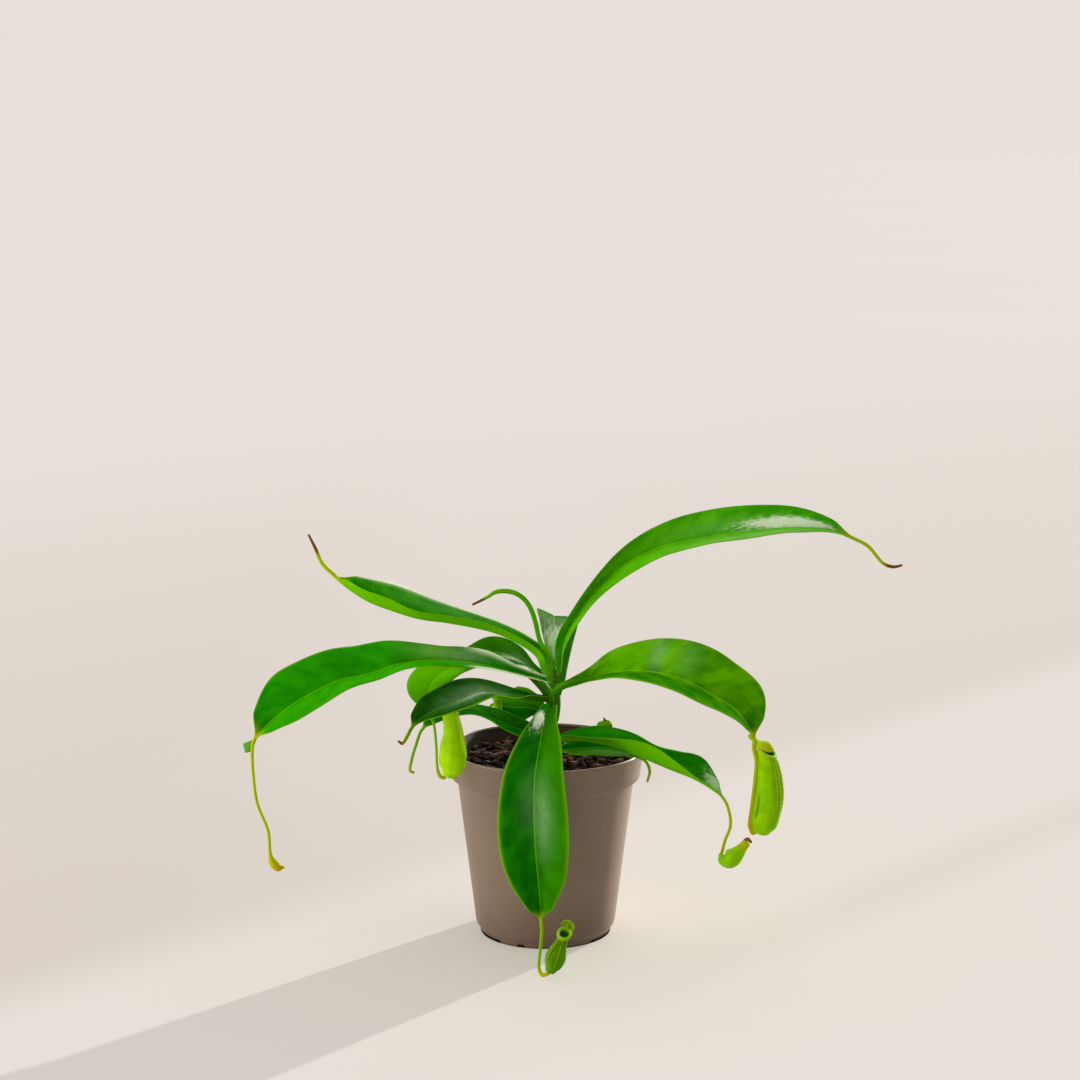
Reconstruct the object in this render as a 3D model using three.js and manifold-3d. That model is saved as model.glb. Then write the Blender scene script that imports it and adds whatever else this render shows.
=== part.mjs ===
// Potted pitcher plant: a plastic nursery pot filled with soil, a short stem, its leaves with
// the tendrils that run on from their tips, and the pitchers that the tendrils carry.
//
// Millimetres, +Z up. The origin is the centre of the pot's flat base, and the front faces -Y.

import * as THREE from 'three';
import { mergeVertices } from 'three/addons/utils/BufferGeometryUtils.js';
import Module from 'manifold-3d';

const wasm = await Module();
wasm.setup();

// Driving dimensions

const GAP = 0.35;            // room left between neighbouring pieces

const POT = {
  height: 115,
  rimRadius: 60,
  collarFootRadius: 57.6,    // lower edge of the rolled collar
  collarHeight: 18,
  neckRadius: 53.7,          // body just under the collar
  bodyFootRadius: 43.0,      // body just above the foot band
  footRadius: 39.6,          // the ring that it stands on
  footBand: 4.2,             // height of the recessed foot band
  wall: 1.4,
  floorTop: 3.6,
  padRadius: 20,             // flat pad in the middle of the base
  channelRadius: 33,         // outer edge of the raised drain channel
  channelHeight: 2,
  segments: 36,
};

const DRAIN_HOLES = { count: 6, radius: 4, ring: 26.5 };
const SLOTS = { wideDegrees: 34, narrowDegrees: 7, height: 2.2 };

const SOIL = { top: 106.5, roughness: 1.3, rings: 8, chips: 46, seed: 41 };

const STEM = {
  // x, y, z, radius from the buried foot to the growing tip
  rows: [
    [2.4, 1, 90, 3.5], [2.4, 1, 101, 3.6], [2.5, 1, 112, 3.6], [3, 1, 124, 3.3], [3.4, 1, 136, 3.4],
    [3.8, 1, 148, 3.1], [4.2, 1, 158, 2.8], [4.4, 1, 163.6, 1.8],
  ],
  holeRadius: 4.2,
};

const BLADE = {
  thickness: 0.8,            // leaf blade
  edgeThickness: 0.66,
  ribFoot: 1.5,              // how far the rib stands out below, at the petiole
  ribTip: 0.5,               // and near the tip
  gutter: 35,                // degrees that the narrow petiole folds up beyond the blade
  bulge: 0.08,               // how far the edges curve back down, by half width
  across: [-1, -0.5, 0, 0.5, 1],
  stepsPerSpan: 2,
};

const PITCHER = { wall: 0.95, sides: 14, lipFlare: 0.7, lipHeight: 1.1, lidThickness: 0.8 };

// Leaves. A blade row is x, y, z of the midrib, half width and roll in degrees; a tendril row
// is x, y, z and radius. fold is the angle, in degrees, that each half rises from the midrib.

const LEAVES = [
  {
    name: 'leaf_upper_right',
    fold: 30,
    widest: 18.5,
    blade: [
      [9.1, 0.1, 162, 3, 20], [11, 1, 180, 5.4, 40], [19, 3, 196, 5.5, 59], [30, 6, 211, 6.8, 68],
      [49, 9, 227, 9.8, 54], [69, 12, 236, 12.8, 30], [94, 15, 241, 18.5, 14], [122, 18, 245, 17.5, 15],
      [149, 21, 247, 14.7, 17], [172, 23, 245, 7.3, 28], [189, 25, 238.5, 2, 46],
    ],
    tendril: [[197, 26, 234, 1.1], [207, 27, 223, 1], [213, 27, 221, 1], [218, 27, 222, 0.7]],
  },
  {
    name: 'leaf_upper_left',
    fold: 44,
    widest: 19,
    blade: [
      [-0.5, 0.7, 161.5, 3, -9], [-4.4, 2, 171, 5.8, -9], [-14, 4, 178, 6.2, -9], [-31, 8, 185, 7, -9],
      [-58, 12, 190, 10.8, -8], [-77, 15, 192, 16.3, -7], [-93, 19, 196, 19, -3], [-108, 23, 201, 17, 0],
      [-120, 26, 208, 10.6, 0], [-130, 28, 216, 3, 2],
    ],
    tendril: [[-137, 29, 223, 1.2], [-141, 30, 232, 1], [-145, 31, 240, 0.7]],
  },
  {
    name: 'leaf_left',
    fold: 27,
    widest: 22.5,
    blade: [
      [1, -1.1, 156, 3, -60], [-18.5, -9, 163, 5, -50], [-35, -16, 169, 9, -42], [-50, -23, 173, 9, -45],
      [-63, -29, 175, 9, -48], [-75, -35, 176, 11.8, -34], [-89, -42, 175, 18.4, -19],
      [-104, -48, 171, 22, -16], [-120, -55, 169, 22.8, -21], [-135, -61, 163, 22.5, -26],
      [-148, -66, 156, 21.3, -27], [-161, -71, 146, 11.5, -36], [-168.5, -73, 137, 1.8, -50],
    ],
    tendril: [
      [-169.5, -74, 131, 1], [-169, -75, 116, 0.9], [-167, -75, 100, 0.9], [-161, -76, 84, 0.9],
      [-160, -76, 70, 1.1], [-158.5, -76, 65, 2.4], [-155.5, -76, 62, 2.4], [-152.5, -76, 62, 0.8],
    ],
  },
  {
    name: 'leaf_right',
    fold: 28,
    widest: 27,
    blade: [
      [7.2, -1.2, 151, 3, 75], [18, -7, 156.5, 4.4, 72], [30, -12, 161.5, 7.4, 57], [44, -18, 166, 15.8, 36],
      [63, -25, 167, 24.5, 27], [82, -31, 163.5, 27.5, 26], [97, -36, 156.5, 27.5, 25],
      [112, -40, 148, 24.5, 22], [119, -43, 139, 12.8, 26], [122.8, -44, 130.5, 2.4, 40],
    ],
    tendril: [
      [122.8, -44.4, 125, 1.3], [124.3, -45.8, 118, 1.3], [123.8, -46.2, 107, 1.3], [122.7, -46.5, 96, 1.3],
      [121.9, -46.5, 86, 1.4], [121.5, -46.3, 78.6, 1.4], [123.1, -45.6, 74.6, 1.3],
    ],
  },
  {
    name: 'leaf_front',
    fold: 14,
    widest: 21.5,
    blade: [
      [3.2, -2.9, 139, 3.2, -2], [1, -14, 142, 6.4, -2], [-0.4, -26, 141, 7.9, -1], [-1.6, -38, 137, 9.2, 2],
      [-4, -56, 128, 14.4, 7], [-6.6, -68, 114, 18.8, 8], [-7, -76, 93, 21.5, 7], [-6, -81, 72, 20.8, 6],
      [-4.4, -84, 56, 16.6, 0], [-3.2, -86, 41.5, 8.8, -6], [-2.8, -87, 33.6, 3.6, -8],
    ],
    tendril: [
      [-2.4, -88, 28, 0.9], [-3, -89, 19, 0.9], [-4, -90, 10, 0.9], [-3.8, -91.4, 5.2, 1],
      [-2, -92.8, 2.7, 1.1], [1.5, -93.3, 3.8, 1.1],
    ],
  },
  {
    name: 'leaf_lower_left',
    fold: 15,
    widest: 18,
    blade: [
      [1, -1.4, 145, 2.8, -4], [-12.5, -13, 149, 6.4, -6], [-27, -27, 154.5, 15.5, -12],
      [-40, -38, 157.5, 18, -8], [-53, -49, 154.5, 18, -6], [-65, -58, 151.5, 13.5, -11],
      [-74, -64, 147, 6.1, -20], [-78, -67, 142.5, 1.6, -27],
    ],
    tendril: [[-80, -69, 139, 1], [-83, -70, 134.5, 0.9], [-85, -71, 136, 0.7]],
  },
  {
    name: 'leaf_lower_left_back',
    fold: 12,
    widest: 12,
    blade: [
      [-0.6, -1.7, 123, 2.8, -34], [-12.5, -4, 126, 8.5, -30], [-25.5, -8, 132, 11, -20],
      [-37, -12, 138, 10.5, -8], [-48, -17, 141, 9.4, -2], [-60, -21, 139, 8.4, -2],
      [-68.5, -24, 136, 6.4, -7], [-74, -26, 131.5, 2, -13],
    ],
    tendril: [[-77, -27, 124, 0.9], [-80, -28, 114, 0.9], [-81, -28, 107, 0.9], [-79, -28, 106, 0.8]],
  },
  {
    name: 'leaf_lower_right',
    fold: 46,
    widest: 14,
    blade: [
      [6.5, -1, 119.5, 3, 20], [18, -8, 122, 6.2, 24], [28, -16, 123, 9.7, 20], [45, -27, 121.5, 12, 0],
      [59.5, -35.5, 117.5, 13.2, -18], [74, -41.5, 112.5, 14.2, -7], [87, -46, 108, 13.8, 10],
      [98, -49, 102, 6.6, 20], [104.8, -51, 96.2, 1.8, 26],
    ],
    tendril: [
      [107.8, -52.5, 89.3, 0.9], [108.8, -53, 80.4, 0.9], [105.8, -53, 71.5, 0.9], [103.8, -53, 63.6, 1],
    ],
  },
  {
    name: 'leaf_back_left',
    fold: 14,
    widest: 16,
    blade: [
      [1.2, 3.8, 156, 2.6, -15], [-8.6, 7.2, 162.4, 3.6, -22], [-18.6, 7.6, 168.6, 8.8, -25],
      [-31, 6, 172.2, 11.2, -23], [-45, 0.5, 168.4, 10.4, -14], [-60, -8, 164.6, 14.2, -4],
      [-69.4, -20, 158.4, 14.2, 1], [-70, -28.5, 151, 9, 1], [-68.4, -35, 145.6, 2.2, 1],
    ],
    tendril: [
      [-67.4, -39.6, 142.6, 0.9], [-65.8, -43, 138.4, 0.8], [-65, -44, 132, 0.8], [-64.5, -44, 124, 0.8],
      [-64.3, -44, 116, 0.8], [-63.5, -44, 110.4, 1], [-62, -44, 107.6, 1.1], [-59.9, -44, 106.9, 1],
    ],
  },
  {
    name: 'leaf_back',
    fold: 10,
    widest: 18,
    blade: [
      [6.1, 5.1, 158.2, 3.1, 4], [6.6, 8.1, 170, 5.6, 10], [6.2, 12, 180, 8.6, 18], [5.8, 20, 187, 10.8, 25],
      [5.6, 33, 188.6, 11.4, 28], [5.6, 50, 185.5, 11.6, 24], [5.6, 68, 176.5, 9, 10], [5.4, 82, 164.5, 5.5, 2],
      [5, 88, 155, 2, 0],
    ],
    tendril: [[3, 91, 146, 1], [3, 92, 134, 0.9], [6, 91, 124, 0.9], [9, 89, 121, 0.7]],
  },
  {
    name: 'leaf_inner_left',
    fold: 14,
    widest: 13,
    blade: [
      [-0.1, 3.6, 134, 2.8, -34], [-6.2, 7.8, 136.4, 7.8, -48], [-12.4, 11.6, 136.6, 11.8, -58],
      [-18.4, 14, 136, 12.8, -58], [-24.2, 15.6, 136.2, 10, -50], [-29.5, 16.4, 137, 5.6, -40],
      [-32.5, 15.6, 137.2, 1.8, -30],
    ],
    tendril: [[-34, 12.6, 136.4, 0.9], [-34.5, 9, 135.2, 0.9], [-34.1, 6.4, 134.6, 0.9]],
  },
  {
    name: 'leaf_lower_right_small',
    fold: 22,
    widest: 8,
    blade: [
      [6.3, -1.1, 112.6, 2.4, 34], [19, -8, 115.5, 5.8, 48], [31, -15, 118, 5.8, 56],
      [43, -21, 118.5, 5.4, 58], [53, -27, 117.5, 3.4, 56], [60, -31, 113, 1.4, 50],
    ],
    tendril: [[62, -32.5, 108, 0.9], [60.6, -33.5, 102, 0.7]],
  },
];

// Pitchers. A body row is x, y, z and radius from the rounded foot to the mouth, and a spur row
// the same from the lid's hinge out. front is the side that the mouth and the two fringed wings
// face.

const OPEN_PITCHERS = [
  {
    name: 'pitcher_right',
    front: [0.86, -0.5, 0],
    body: [
      [129, -44, 75, 4.6], [130, -44, 79, 7.2], [131.3, -44, 87, 8], [132, -44, 96.5, 8],
      [132, -44, 107, 6.8], [131.4, -44, 117, 5.5], [130.6, -44, 123.5, 4.9],
    ],
    mouthSlope: 0.75,
    lid: { length: 9.5, width: 7.6, rise: 25 },
    spur: [[126.6, -41.4, 127.4, 1.2], [123.6, -40, 129.2, 1], [121.2, -39.8, 130.8, 1.5], [120.4, -39.8, 131.5, 1]],
    wings: { from: 2, to: 6, height: 1.8, teeth: 9 },
  },
  {
    name: 'pitcher_front',
    front: [-0.35, -0.94, 0],
    body: [
      [2.6, -93.4, 5.6, 3.2], [4.1, -93.2, 9, 5], [5.6, -93, 13.2, 5.8], [7.2, -92.6, 18, 5.4],
      [9, -92.3, 22.5, 4.6], [10.6, -92, 27, 4.4],
    ],
    mouthSlope: 0.7,
    lid: { length: 8.5, width: 8, rise: 42 },
    wings: { from: 1, to: 5, height: 1.3, teeth: 8 },
  },
  {
    name: 'pitcher_left',
    front: [0.9, 0.44, 0],
    body: [
      [-57.2, -43.8, 109, 3.8], [-55.6, -43.8, 113, 6.6], [-54.9, -43.8, 119.5, 7.9],
      [-55, -43.8, 127, 7.1], [-55, -43.8, 135, 5.3], [-56, -43.8, 143, 4.6], [-56.4, -43.8, 147.5, 4.8],
    ],
    mouthSlope: 0.6,
    lid: { length: 9.5, width: 8.5, rise: 24 },
    wings: { from: 2, to: 6, height: 1.4, teeth: 9 },
  },
];

const CLOSED_PITCHERS = [
  {
    name: 'pitcher_small_right',
    body: [
      [103.4, -53, 62.2, 1.6], [104.6, -53, 60.2, 3.6], [107.8, -53, 59.8, 5.4], [111, -53, 61.8, 5.4],
      [113.9, -53, 64.6, 4], [116.3, -53, 67.5, 2.9], [118.3, -53, 69.8, 2.6],
    ],
    lid: [[117.3, -53, 71.8, 2], [119.3, -53, 71, 2.2], [120.7, -53, 69.2, 1.2]],
  },
  {
    name: 'pitcher_young',
    body: [
      [-32.4, 5, 133.4, 1.1], [-31, 4.6, 133, 1.8], [-29.7, 4.4, 135.2, 2.8], [-29.2, 4.4, 138.4, 2.7],
      [-29.2, 4.2, 141.2, 2.5], [-29.4, 4, 143.6, 2.8],
    ],
    lid: [[-31.4, 4.2, 144.8, 1.6], [-29.4, 4, 145.8, 2.3], [-27.4, 3.8, 145, 1.6]],
  },
];

// Young leaves, still rolled. A row is x, y, z and radius.

const SHOOTS = [
  {
    name: 'young_leaf',
    rows: [
      [4.3, 1.1, 164.4, 1.4], [3.3, 0.8, 168.5, 1.5], [0.9, 0.3, 173.4, 1.5], [-3.2, 0.4, 180, 1.5], [-6.2, 0, 192, 1.5],
      [-8.8, -1, 200, 1.5], [-13, -2, 206.5, 1.5], [-18.5, -3, 210.4, 1.5], [-24.5, -4, 211.8, 1.5],
      [-30.4, -5, 211.2, 1.3], [-35, -6, 208.4, 1], [-43.5, -8, 204.4, 0.7],
    ],
  },
  {
    name: 'young_shoot',
    rows: [
      [5, 4.9, 112, 1.3], [14, 9, 113.5, 1.5], [24, 11, 116, 1.7], [31, 12, 120.4, 2.1], [34.6, 12, 125, 2.6],
      [37.2, 12, 126.4, 2.4], [39.4, 12, 124.8, 1.5],
    ],
  },
];

// Colours and finishes

const FINISH = {
  pot: { color: 0x85705f, roughness: 0.5 },
  soil: { color: 0x2c2119, roughness: 0.95 },
  stem: { color: 0x3c7a1c, roughness: 0.45 },
  leaf: { color: 0x1f8a12, roughness: 0.3 },
  pitcher: { color: 0x7fbf12, roughness: 0.35 },
};

const group = new THREE.Group();

function place(name, geometry, finish) {
  const material = new THREE.MeshStandardMaterial({ ...FINISH[finish], metalness: 0, side: THREE.DoubleSide });
  const mesh = new THREE.Mesh(geometry, material);
  mesh.name = name;
  group.add(mesh);
}

// Seeded random numbers, so that every build is the same
function randomFrom(seed) {
  let state = seed;
  return () => {
    state = (state * 1664525 + 1013904223) % 4294967296;
    return state / 4294967296;
  };
}

// Solids are kept as { points, faces } until they are placed

function signedVolume({ points, faces }) {
  return faces.reduce((sum, [a, b, c]) => {
    const cross = points[b].clone().cross(points[c]);
    return sum + points[a].dot(cross) / 6;
  }, 0);
}

function facingOut(solid) {
  if (signedVolume(solid) > 0) return solid;
  return { points: solid.points, faces: solid.faces.map(([a, b, c]) => [a, c, b]) };
}

function toGeometry({ points, faces }) {
  const geometry = new THREE.BufferGeometry();
  geometry.setAttribute('position', new THREE.Float32BufferAttribute(points.flatMap((p) => p.toArray()), 3));
  geometry.setIndex(faces.flat());
  return geometry;
}

function toManifold(geometry) {
  const bare = geometry.clone();
  bare.deleteAttribute('normal');
  bare.deleteAttribute('uv');
  const merged = mergeVertices(bare, 1e-4);
  const vertProperties = new Float32Array(merged.attributes.position.array);
  const triVerts = new Uint32Array(merged.index.array);
  return new wasm.Manifold(new wasm.Mesh({ numProp: 3, vertProperties, triVerts }));
}

function fromManifold(solid) {
  const mesh = solid.getMesh();
  const geometry = new THREE.BufferGeometry();
  geometry.setAttribute('position', new THREE.Float32BufferAttribute(mesh.vertProperties, 3));
  geometry.setIndex(Array.from(mesh.triVerts));
  return geometry;
}

// One solid from pieces that run into each other, with any pocket closed in between them filled
function fuse(geometries) {
  const whole = geometries.map(toManifold).reduce((sum, next) => sum.add(next));
  const shells = whole.decompose().filter((shell) => shell.volume() > 0);
  return fromManifold(shells.reduce((sum, next) => sum.add(next)));
}

function cut(geometry, cutters) {
  return fromManifold(cutters.map(toManifold).reduce((whole, next) => whole.subtract(next), toManifold(geometry)));
}

// Side walls between one ring of points and the next. From ring index `mirrored` on, the
// squares are split along their other diagonal.
function wallFaces(ringCount, size, mirrored) {
  const faces = [];
  for (let i = 0; i + 1 < ringCount; i += 1) {
    for (let q = 0; q < size; q += 1) {
      const a = i * size + q;
      const b = i * size + ((q + 1) % size);
      const c = a + size;
      const d = b + size;
      if (q < mirrored) faces.push([a, b, d], [a, d, c]);
      else faces.push([a, b, c], [b, d, c]);
    }
  }
  return faces;
}

function fanFaces(first, size, centre, reversed) {
  const faces = [];
  for (let q = 0; q < size; q += 1) {
    const a = first + q;
    const b = first + ((q + 1) % size);
    faces.push(reversed ? [centre, b, a] : [centre, a, b]);
  }
  return faces;
}

// A solid through rings of points, closed at each end by a fan round the ring's middle
function loft(rings) {
  const size = rings[0].length;
  const points = rings.flat();
  const faces = wallFaces(rings.length, size, size);
  const ends = [rings[0], rings[rings.length - 1]];
  ends.forEach((ring, end) => {
    const middle = new THREE.Vector3();
    ring.forEach((p) => middle.addScaledVector(p, 1 / size));
    points.push(middle);
    faces.push(...fanFaces(end * (rings.length - 1) * size, size, points.length - 1, end === 0));
  });
  return facingOut({ points, faces });
}

// Value between hand-set rows, eased the same way on every channel
function eased(values, t) {
  const last = values.length - 1;
  const i = Math.min(Math.floor(t), last - 1);
  const f = t - i;
  const before = values[Math.max(i - 1, 0)];
  const after = values[Math.min(i + 2, last)];
  const slopeIn = (values[i + 1] - before) / 2;
  const slopeOut = (after - values[i]) / 2;
  const rise = values[i + 1] - values[i];
  return values[i] + slopeIn * f + (3 * rise - 2 * slopeIn - slopeOut) * f * f
    + (slopeIn + slopeOut - 2 * rise) * f * f * f;
}

// Stations along rows of x, y, z: place, direction, and side and top vectors that don't twist
function stationsAlong(rows, stepsPerSpan, firstSide) {
  const curve = new THREE.CatmullRomCurve3(rows.map(([x, y, z]) => new THREE.Vector3(x, y, z)));
  const last = rows.length - 1;
  const count = last * stepsPerSpan;
  const stations = [];
  let side = firstSide;
  for (let k = 0; k <= count; k += 1) {
    const along = curve.getTangent(k / count);
    if (!side) side = new THREE.Vector3(0, 0, 1).cross(along);
    side = side.clone().addScaledVector(along, -side.dot(along)).normalize();
    stations.push({
      t: k / stepsPerSpan,
      centre: curve.getPoint(k / count),
      side,
      top: along.clone().cross(side),
    });
  }
  return stations;
}

function roundRing({ centre, side, top }, radius, sides) {
  return Array.from({ length: sides }, (_, q) => {
    const angle = (2 * Math.PI * (q + 0.5)) / sides;
    return centre.clone()
      .addScaledVector(side, radius * Math.cos(angle))
      .addScaledVector(top, radius * Math.sin(angle));
  });
}

function cane(rows, sides, stepsPerSpan = 2) {
  const radii = rows.map((row) => row[3]);
  return loft(stationsAlong(rows, stepsPerSpan).map((s) => roundRing(s, eased(radii, s.t), sides)));
}

// Leaf blade and tendril in one loft. The ring goes over the top from right to left and back
// below, flat and folded along the blade and round along the tendril.

function leafRing(station, leaf, tables) {
  const bladeEnd = leaf.blade.length - 1;
  const t = Math.min(station.t, bladeEnd);
  const half = Math.max(eased(tables.half, t), 1);
  const roll = THREE.MathUtils.degToRad(eased(tables.roll, t));
  const radius = eased(tables.radius, Math.max(station.t - bladeEnd, 0));
  const flat = 1 - THREE.MathUtils.smoothstep(station.t, bladeEnd - 0.9, bladeEnd);
  const narrow = 1 - Math.min(half / leaf.widest, 1);
  const fold = THREE.MathUtils.degToRad(leaf.fold + BLADE.gutter * narrow * narrow);
  const toTip = 1 - t / bladeEnd;
  const rib = BLADE.ribTip + (BLADE.ribFoot - BLADE.ribTip) * toTip * toTip;
  const side = station.side.clone().multiplyScalar(Math.cos(roll)).addScaledVector(station.top, Math.sin(roll));
  const top = station.top.clone().multiplyScalar(Math.cos(roll)).addScaledVector(station.side, -Math.sin(roll));
  const count = BLADE.across.length;
  const point = (across, below, index) => {
    const lift = half * (Math.abs(across) * Math.sin(fold) - BLADE.bulge * across * across);
    const edge = Math.abs(across) === 1 ? BLADE.edgeThickness : BLADE.thickness;
    const drop = below ? edge + (across === 0 ? rib : 0) : 0;
    const angle = (2 * Math.PI * (index + 0.5)) / (2 * count);
    const sideways = THREE.MathUtils.lerp(-radius * Math.cos(angle), half * across * Math.cos(fold), flat);
    const upwards = THREE.MathUtils.lerp(radius * Math.sin(angle), lift - drop, flat);
    return station.centre.clone().addScaledVector(side, sideways).addScaledVector(top, upwards);
  };
  const over = BLADE.across.map((across, k) => point(across, false, k));
  const under = [...BLADE.across].reverse().map((across, k) => point(across, true, count + k));
  return [...over, ...under];
}

function leafSolid(leaf) {
  const tip = leaf.blade[leaf.blade.length - 1];
  const tendril = leaf.tendril.map((row) => row[3]);
  const tables = {
    half: leaf.blade.map((row) => row[3]),
    roll: leaf.blade.map((row) => row[4]),
    radius: [Math.min(tip[3], tendril[0]), ...tendril],
  };
  const stations = stationsAlong([...leaf.blade, ...leaf.tendril], BLADE.stepsPerSpan);
  const rings = stations.map((station) => leafRing(station, leaf, tables));
  const count = BLADE.across.length;
  const size = 2 * count;
  const faces = wallFaces(rings.length, size, count - 1);
  const last = (rings.length - 1) * size;
  for (let k = 0; k + 1 < count; k += 1) {
    const [a, b, c, d] = [k, k + 1, size - 2 - k, size - 1 - k];
    faces.push([a, c, b], [a, d, c], [last + a, last + b, last + c], [last + a, last + c, last + d]);
  }
  return facingOut({ points: rings.flat(), faces });
}

// Open pitcher: outer wall up to a flared lip, then the inner wall back down

function openPitcher(spec) {
  const { wall, sides, lipFlare, lipHeight } = PITCHER;
  const front = new THREE.Vector3(...spec.front).normalize();
  const stations = stationsAlong(spec.body, 1, front);
  const radii = spec.body.map((row) => row[3]);
  const end = stations.length - 1;
  const ring = (k, radius, lift, slope) => {
    const { centre, side, top } = stations[k];
    const along = side.clone().cross(top);
    return Array.from({ length: sides }, (_, q) => {
      const angle = (2 * Math.PI * q) / sides;
      const rise = lift - slope * Math.cos(angle) * radius;
      return centre.clone()
        .addScaledVector(side, radius * Math.cos(angle))
        .addScaledVector(top, radius * Math.sin(angle))
        .addScaledVector(along, rise);
    });
  };
  const slopeAt = (k) => (k === end ? spec.mouthSlope : k === end - 1 ? spec.mouthSlope * 0.35 : 0);
  const outer = radii.map((radius, k) => ring(k, radius, 0, slopeAt(k)));
  const lip = [
    ring(end, radii[end] + lipFlare, 0.4, spec.mouthSlope),
    ring(end, radii[end] + lipFlare * 0.3, lipHeight, spec.mouthSlope),
    ring(end, radii[end] - wall, 0.5, spec.mouthSlope),
  ];
  const inner = radii.map((radius, k) => ring(k, radius - wall, -0.6, slopeAt(k))).slice(1, -1).reverse();
  const rings = [...outer, ...lip, ...inner];
  const shell = { points: rings.flat(), faces: wallFaces(rings.length, sides, sides) };
  const { centre, side, top } = stations[0];
  const down = top.clone().cross(side);
  shell.points.push(centre.clone().addScaledVector(down, radii[0] * 0.4));
  shell.faces.push(...fanFaces(0, sides, shell.points.length - 1, true));
  shell.points.push(centre.clone().addScaledVector(down, -1.2));
  shell.faces.push(...fanFaces((rings.length - 1) * sides, sides, shell.points.length - 1, false));
  const pieces = [toGeometry(facingOut(shell)), pitcherLid(spec, stations[end], radii[end], front)];
  [-0.42, 0.42].forEach((turn) => pieces.push(pitcherWing(spec, stations, radii, turn)));
  if (spec.spur) pieces.push(toGeometry(cane(spec.spur, 8)));
  return fuse(pieces);
}

// Oval lid, domed, hinged at the back of the mouth
function pitcherLid(spec, mouth, radius, front) {
  const { length, width, rise } = spec.lid;
  const { centre, side, top } = mouth;
  const along = side.clone().cross(top);
  const hinge = centre.clone()
    .addScaledVector(side, -(radius + 0.2))
    .addScaledVector(along, spec.mouthSlope * (radius + 0.2) + 0.9);
  const angle = THREE.MathUtils.degToRad(rise);
  const reach = front.clone().multiplyScalar(Math.cos(angle)).add(new THREE.Vector3(0, 0, Math.sin(angle)));
  const across = new THREE.Vector3().crossVectors(new THREE.Vector3(0, 0, 1), front).normalize();
  const up = reach.clone().cross(across);
  const middle = hinge.clone().addScaledVector(reach, length / 2 - 0.6);
  const sides = 12;
  const layer = (size, lift) => Array.from({ length: sides }, (_, q) => {
    const turn = (2 * Math.PI * q) / sides;
    return middle.clone()
      .addScaledVector(reach, (size * length * Math.cos(turn)) / 2)
      .addScaledVector(across, (size * width * Math.sin(turn)) / 2)
      .addScaledVector(up, lift);
  });
  const thick = PITCHER.lidThickness;
  return toGeometry(loft([layer(0.55, 0.5 - thick), layer(1, -thick), layer(1, 0), layer(0.55, 0.5 + 0.1)]));
}

// Fringed wing: a thin toothed strip down the front of the pitcher
function pitcherWing(spec, stations, radii, turn) {
  const { from, to, height, teeth } = spec.wings;
  const steps = teeth * 2;
  const rows = [];
  for (let k = 0; k <= steps; k += 1) {
    const t = from + ((to - 0.15 - from) * k) / steps;
    const i = Math.min(Math.floor(t), stations.length - 2);
    const f = t - i;
    const mix = (key) => stations[i][key].clone().lerp(stations[i + 1][key], f);
    const radius = THREE.MathUtils.lerp(radii[i], radii[i + 1], f);
    const out = mix('side').multiplyScalar(Math.cos(turn)).addScaledVector(mix('top'), Math.sin(turn)).normalize();
    const flank = mix('top').multiplyScalar(Math.cos(turn)).addScaledVector(mix('side'), -Math.sin(turn)).normalize();
    const slope = t > stations.length - 2 ? spec.mouthSlope * f * radius * Math.cos(turn) : 0;
    const along = mix('side').cross(mix('top'));
    const foot = mix('centre').addScaledVector(along, -slope).addScaledVector(out, radius - 0.5);
    const fade = Math.sin((Math.PI * (k + 0.6)) / (steps + 1.2));
    const tall = 0.6 + height * fade * (k % 2 ? 1 : 0.55);
    rows.push([-0.35, 0.35].flatMap((across) => {
      const base = foot.clone().addScaledVector(flank, across);
      const tip = foot.clone().addScaledVector(flank, across).addScaledVector(out, tall);
      return across < 0 ? [base, tip] : [tip, base];
    }));
  }
  return toGeometry(loft(rows));
}

function closedPitcher(spec) {
  return fuse([toGeometry(cane(spec.body, 12, 1)), toGeometry(cane(spec.lid, 8, 1))]);
}

// Pot

function potProfile() {
  const p = POT;
  const collarFoot = p.height - p.collarHeight;
  return [
    [0, 0], [p.padRadius, 0], [p.padRadius + 1, p.channelHeight], [p.channelRadius - 1, p.channelHeight],
    [p.channelRadius, 0], [p.footRadius, 0], [p.footRadius + 0.8, p.footBand - 0.5],
    [p.footRadius + 1.6, p.footBand], [p.bodyFootRadius - 0.3, p.footBand + 3], [p.bodyFootRadius + 0.2, p.footBand + 7],
    [p.neckRadius, collarFoot], [p.collarFootRadius - 0.6, collarFoot + 0.2], [p.collarFootRadius, collarFoot + 1],
    [p.rimRadius, p.height - 1.2], [p.rimRadius - 0.4, p.height], [p.rimRadius - p.wall, p.height],
    [p.rimRadius - p.wall - 0.4, p.height - 1.2],
    [p.collarFootRadius - p.wall, collarFoot + 1.6], [p.neckRadius - p.wall, collarFoot - 1],
    [p.bodyFootRadius - p.wall, p.footBand + 7], [p.footRadius - 0.4, p.floorTop], [0, p.floorTop],
  ];
}

// Wedge of the foot ring between two angles, as deep as a drain slot
function slotCutter(middle, degrees) {
  const inner = POT.channelRadius - 2;
  const outer = POT.rimRadius;
  const shape = new THREE.Shape();
  const start = THREE.MathUtils.degToRad(middle - degrees / 2);
  const end = THREE.MathUtils.degToRad(middle + degrees / 2);
  shape.absarc(0, 0, outer, start, end, false);
  shape.absarc(0, 0, inner, end, start, true);
  const wedge = new THREE.ExtrudeGeometry(shape, { depth: SLOTS.height + 1, bevelEnabled: false, curveSegments: 6 });
  return wedge.translate(0, 0, -1);
}

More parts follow.
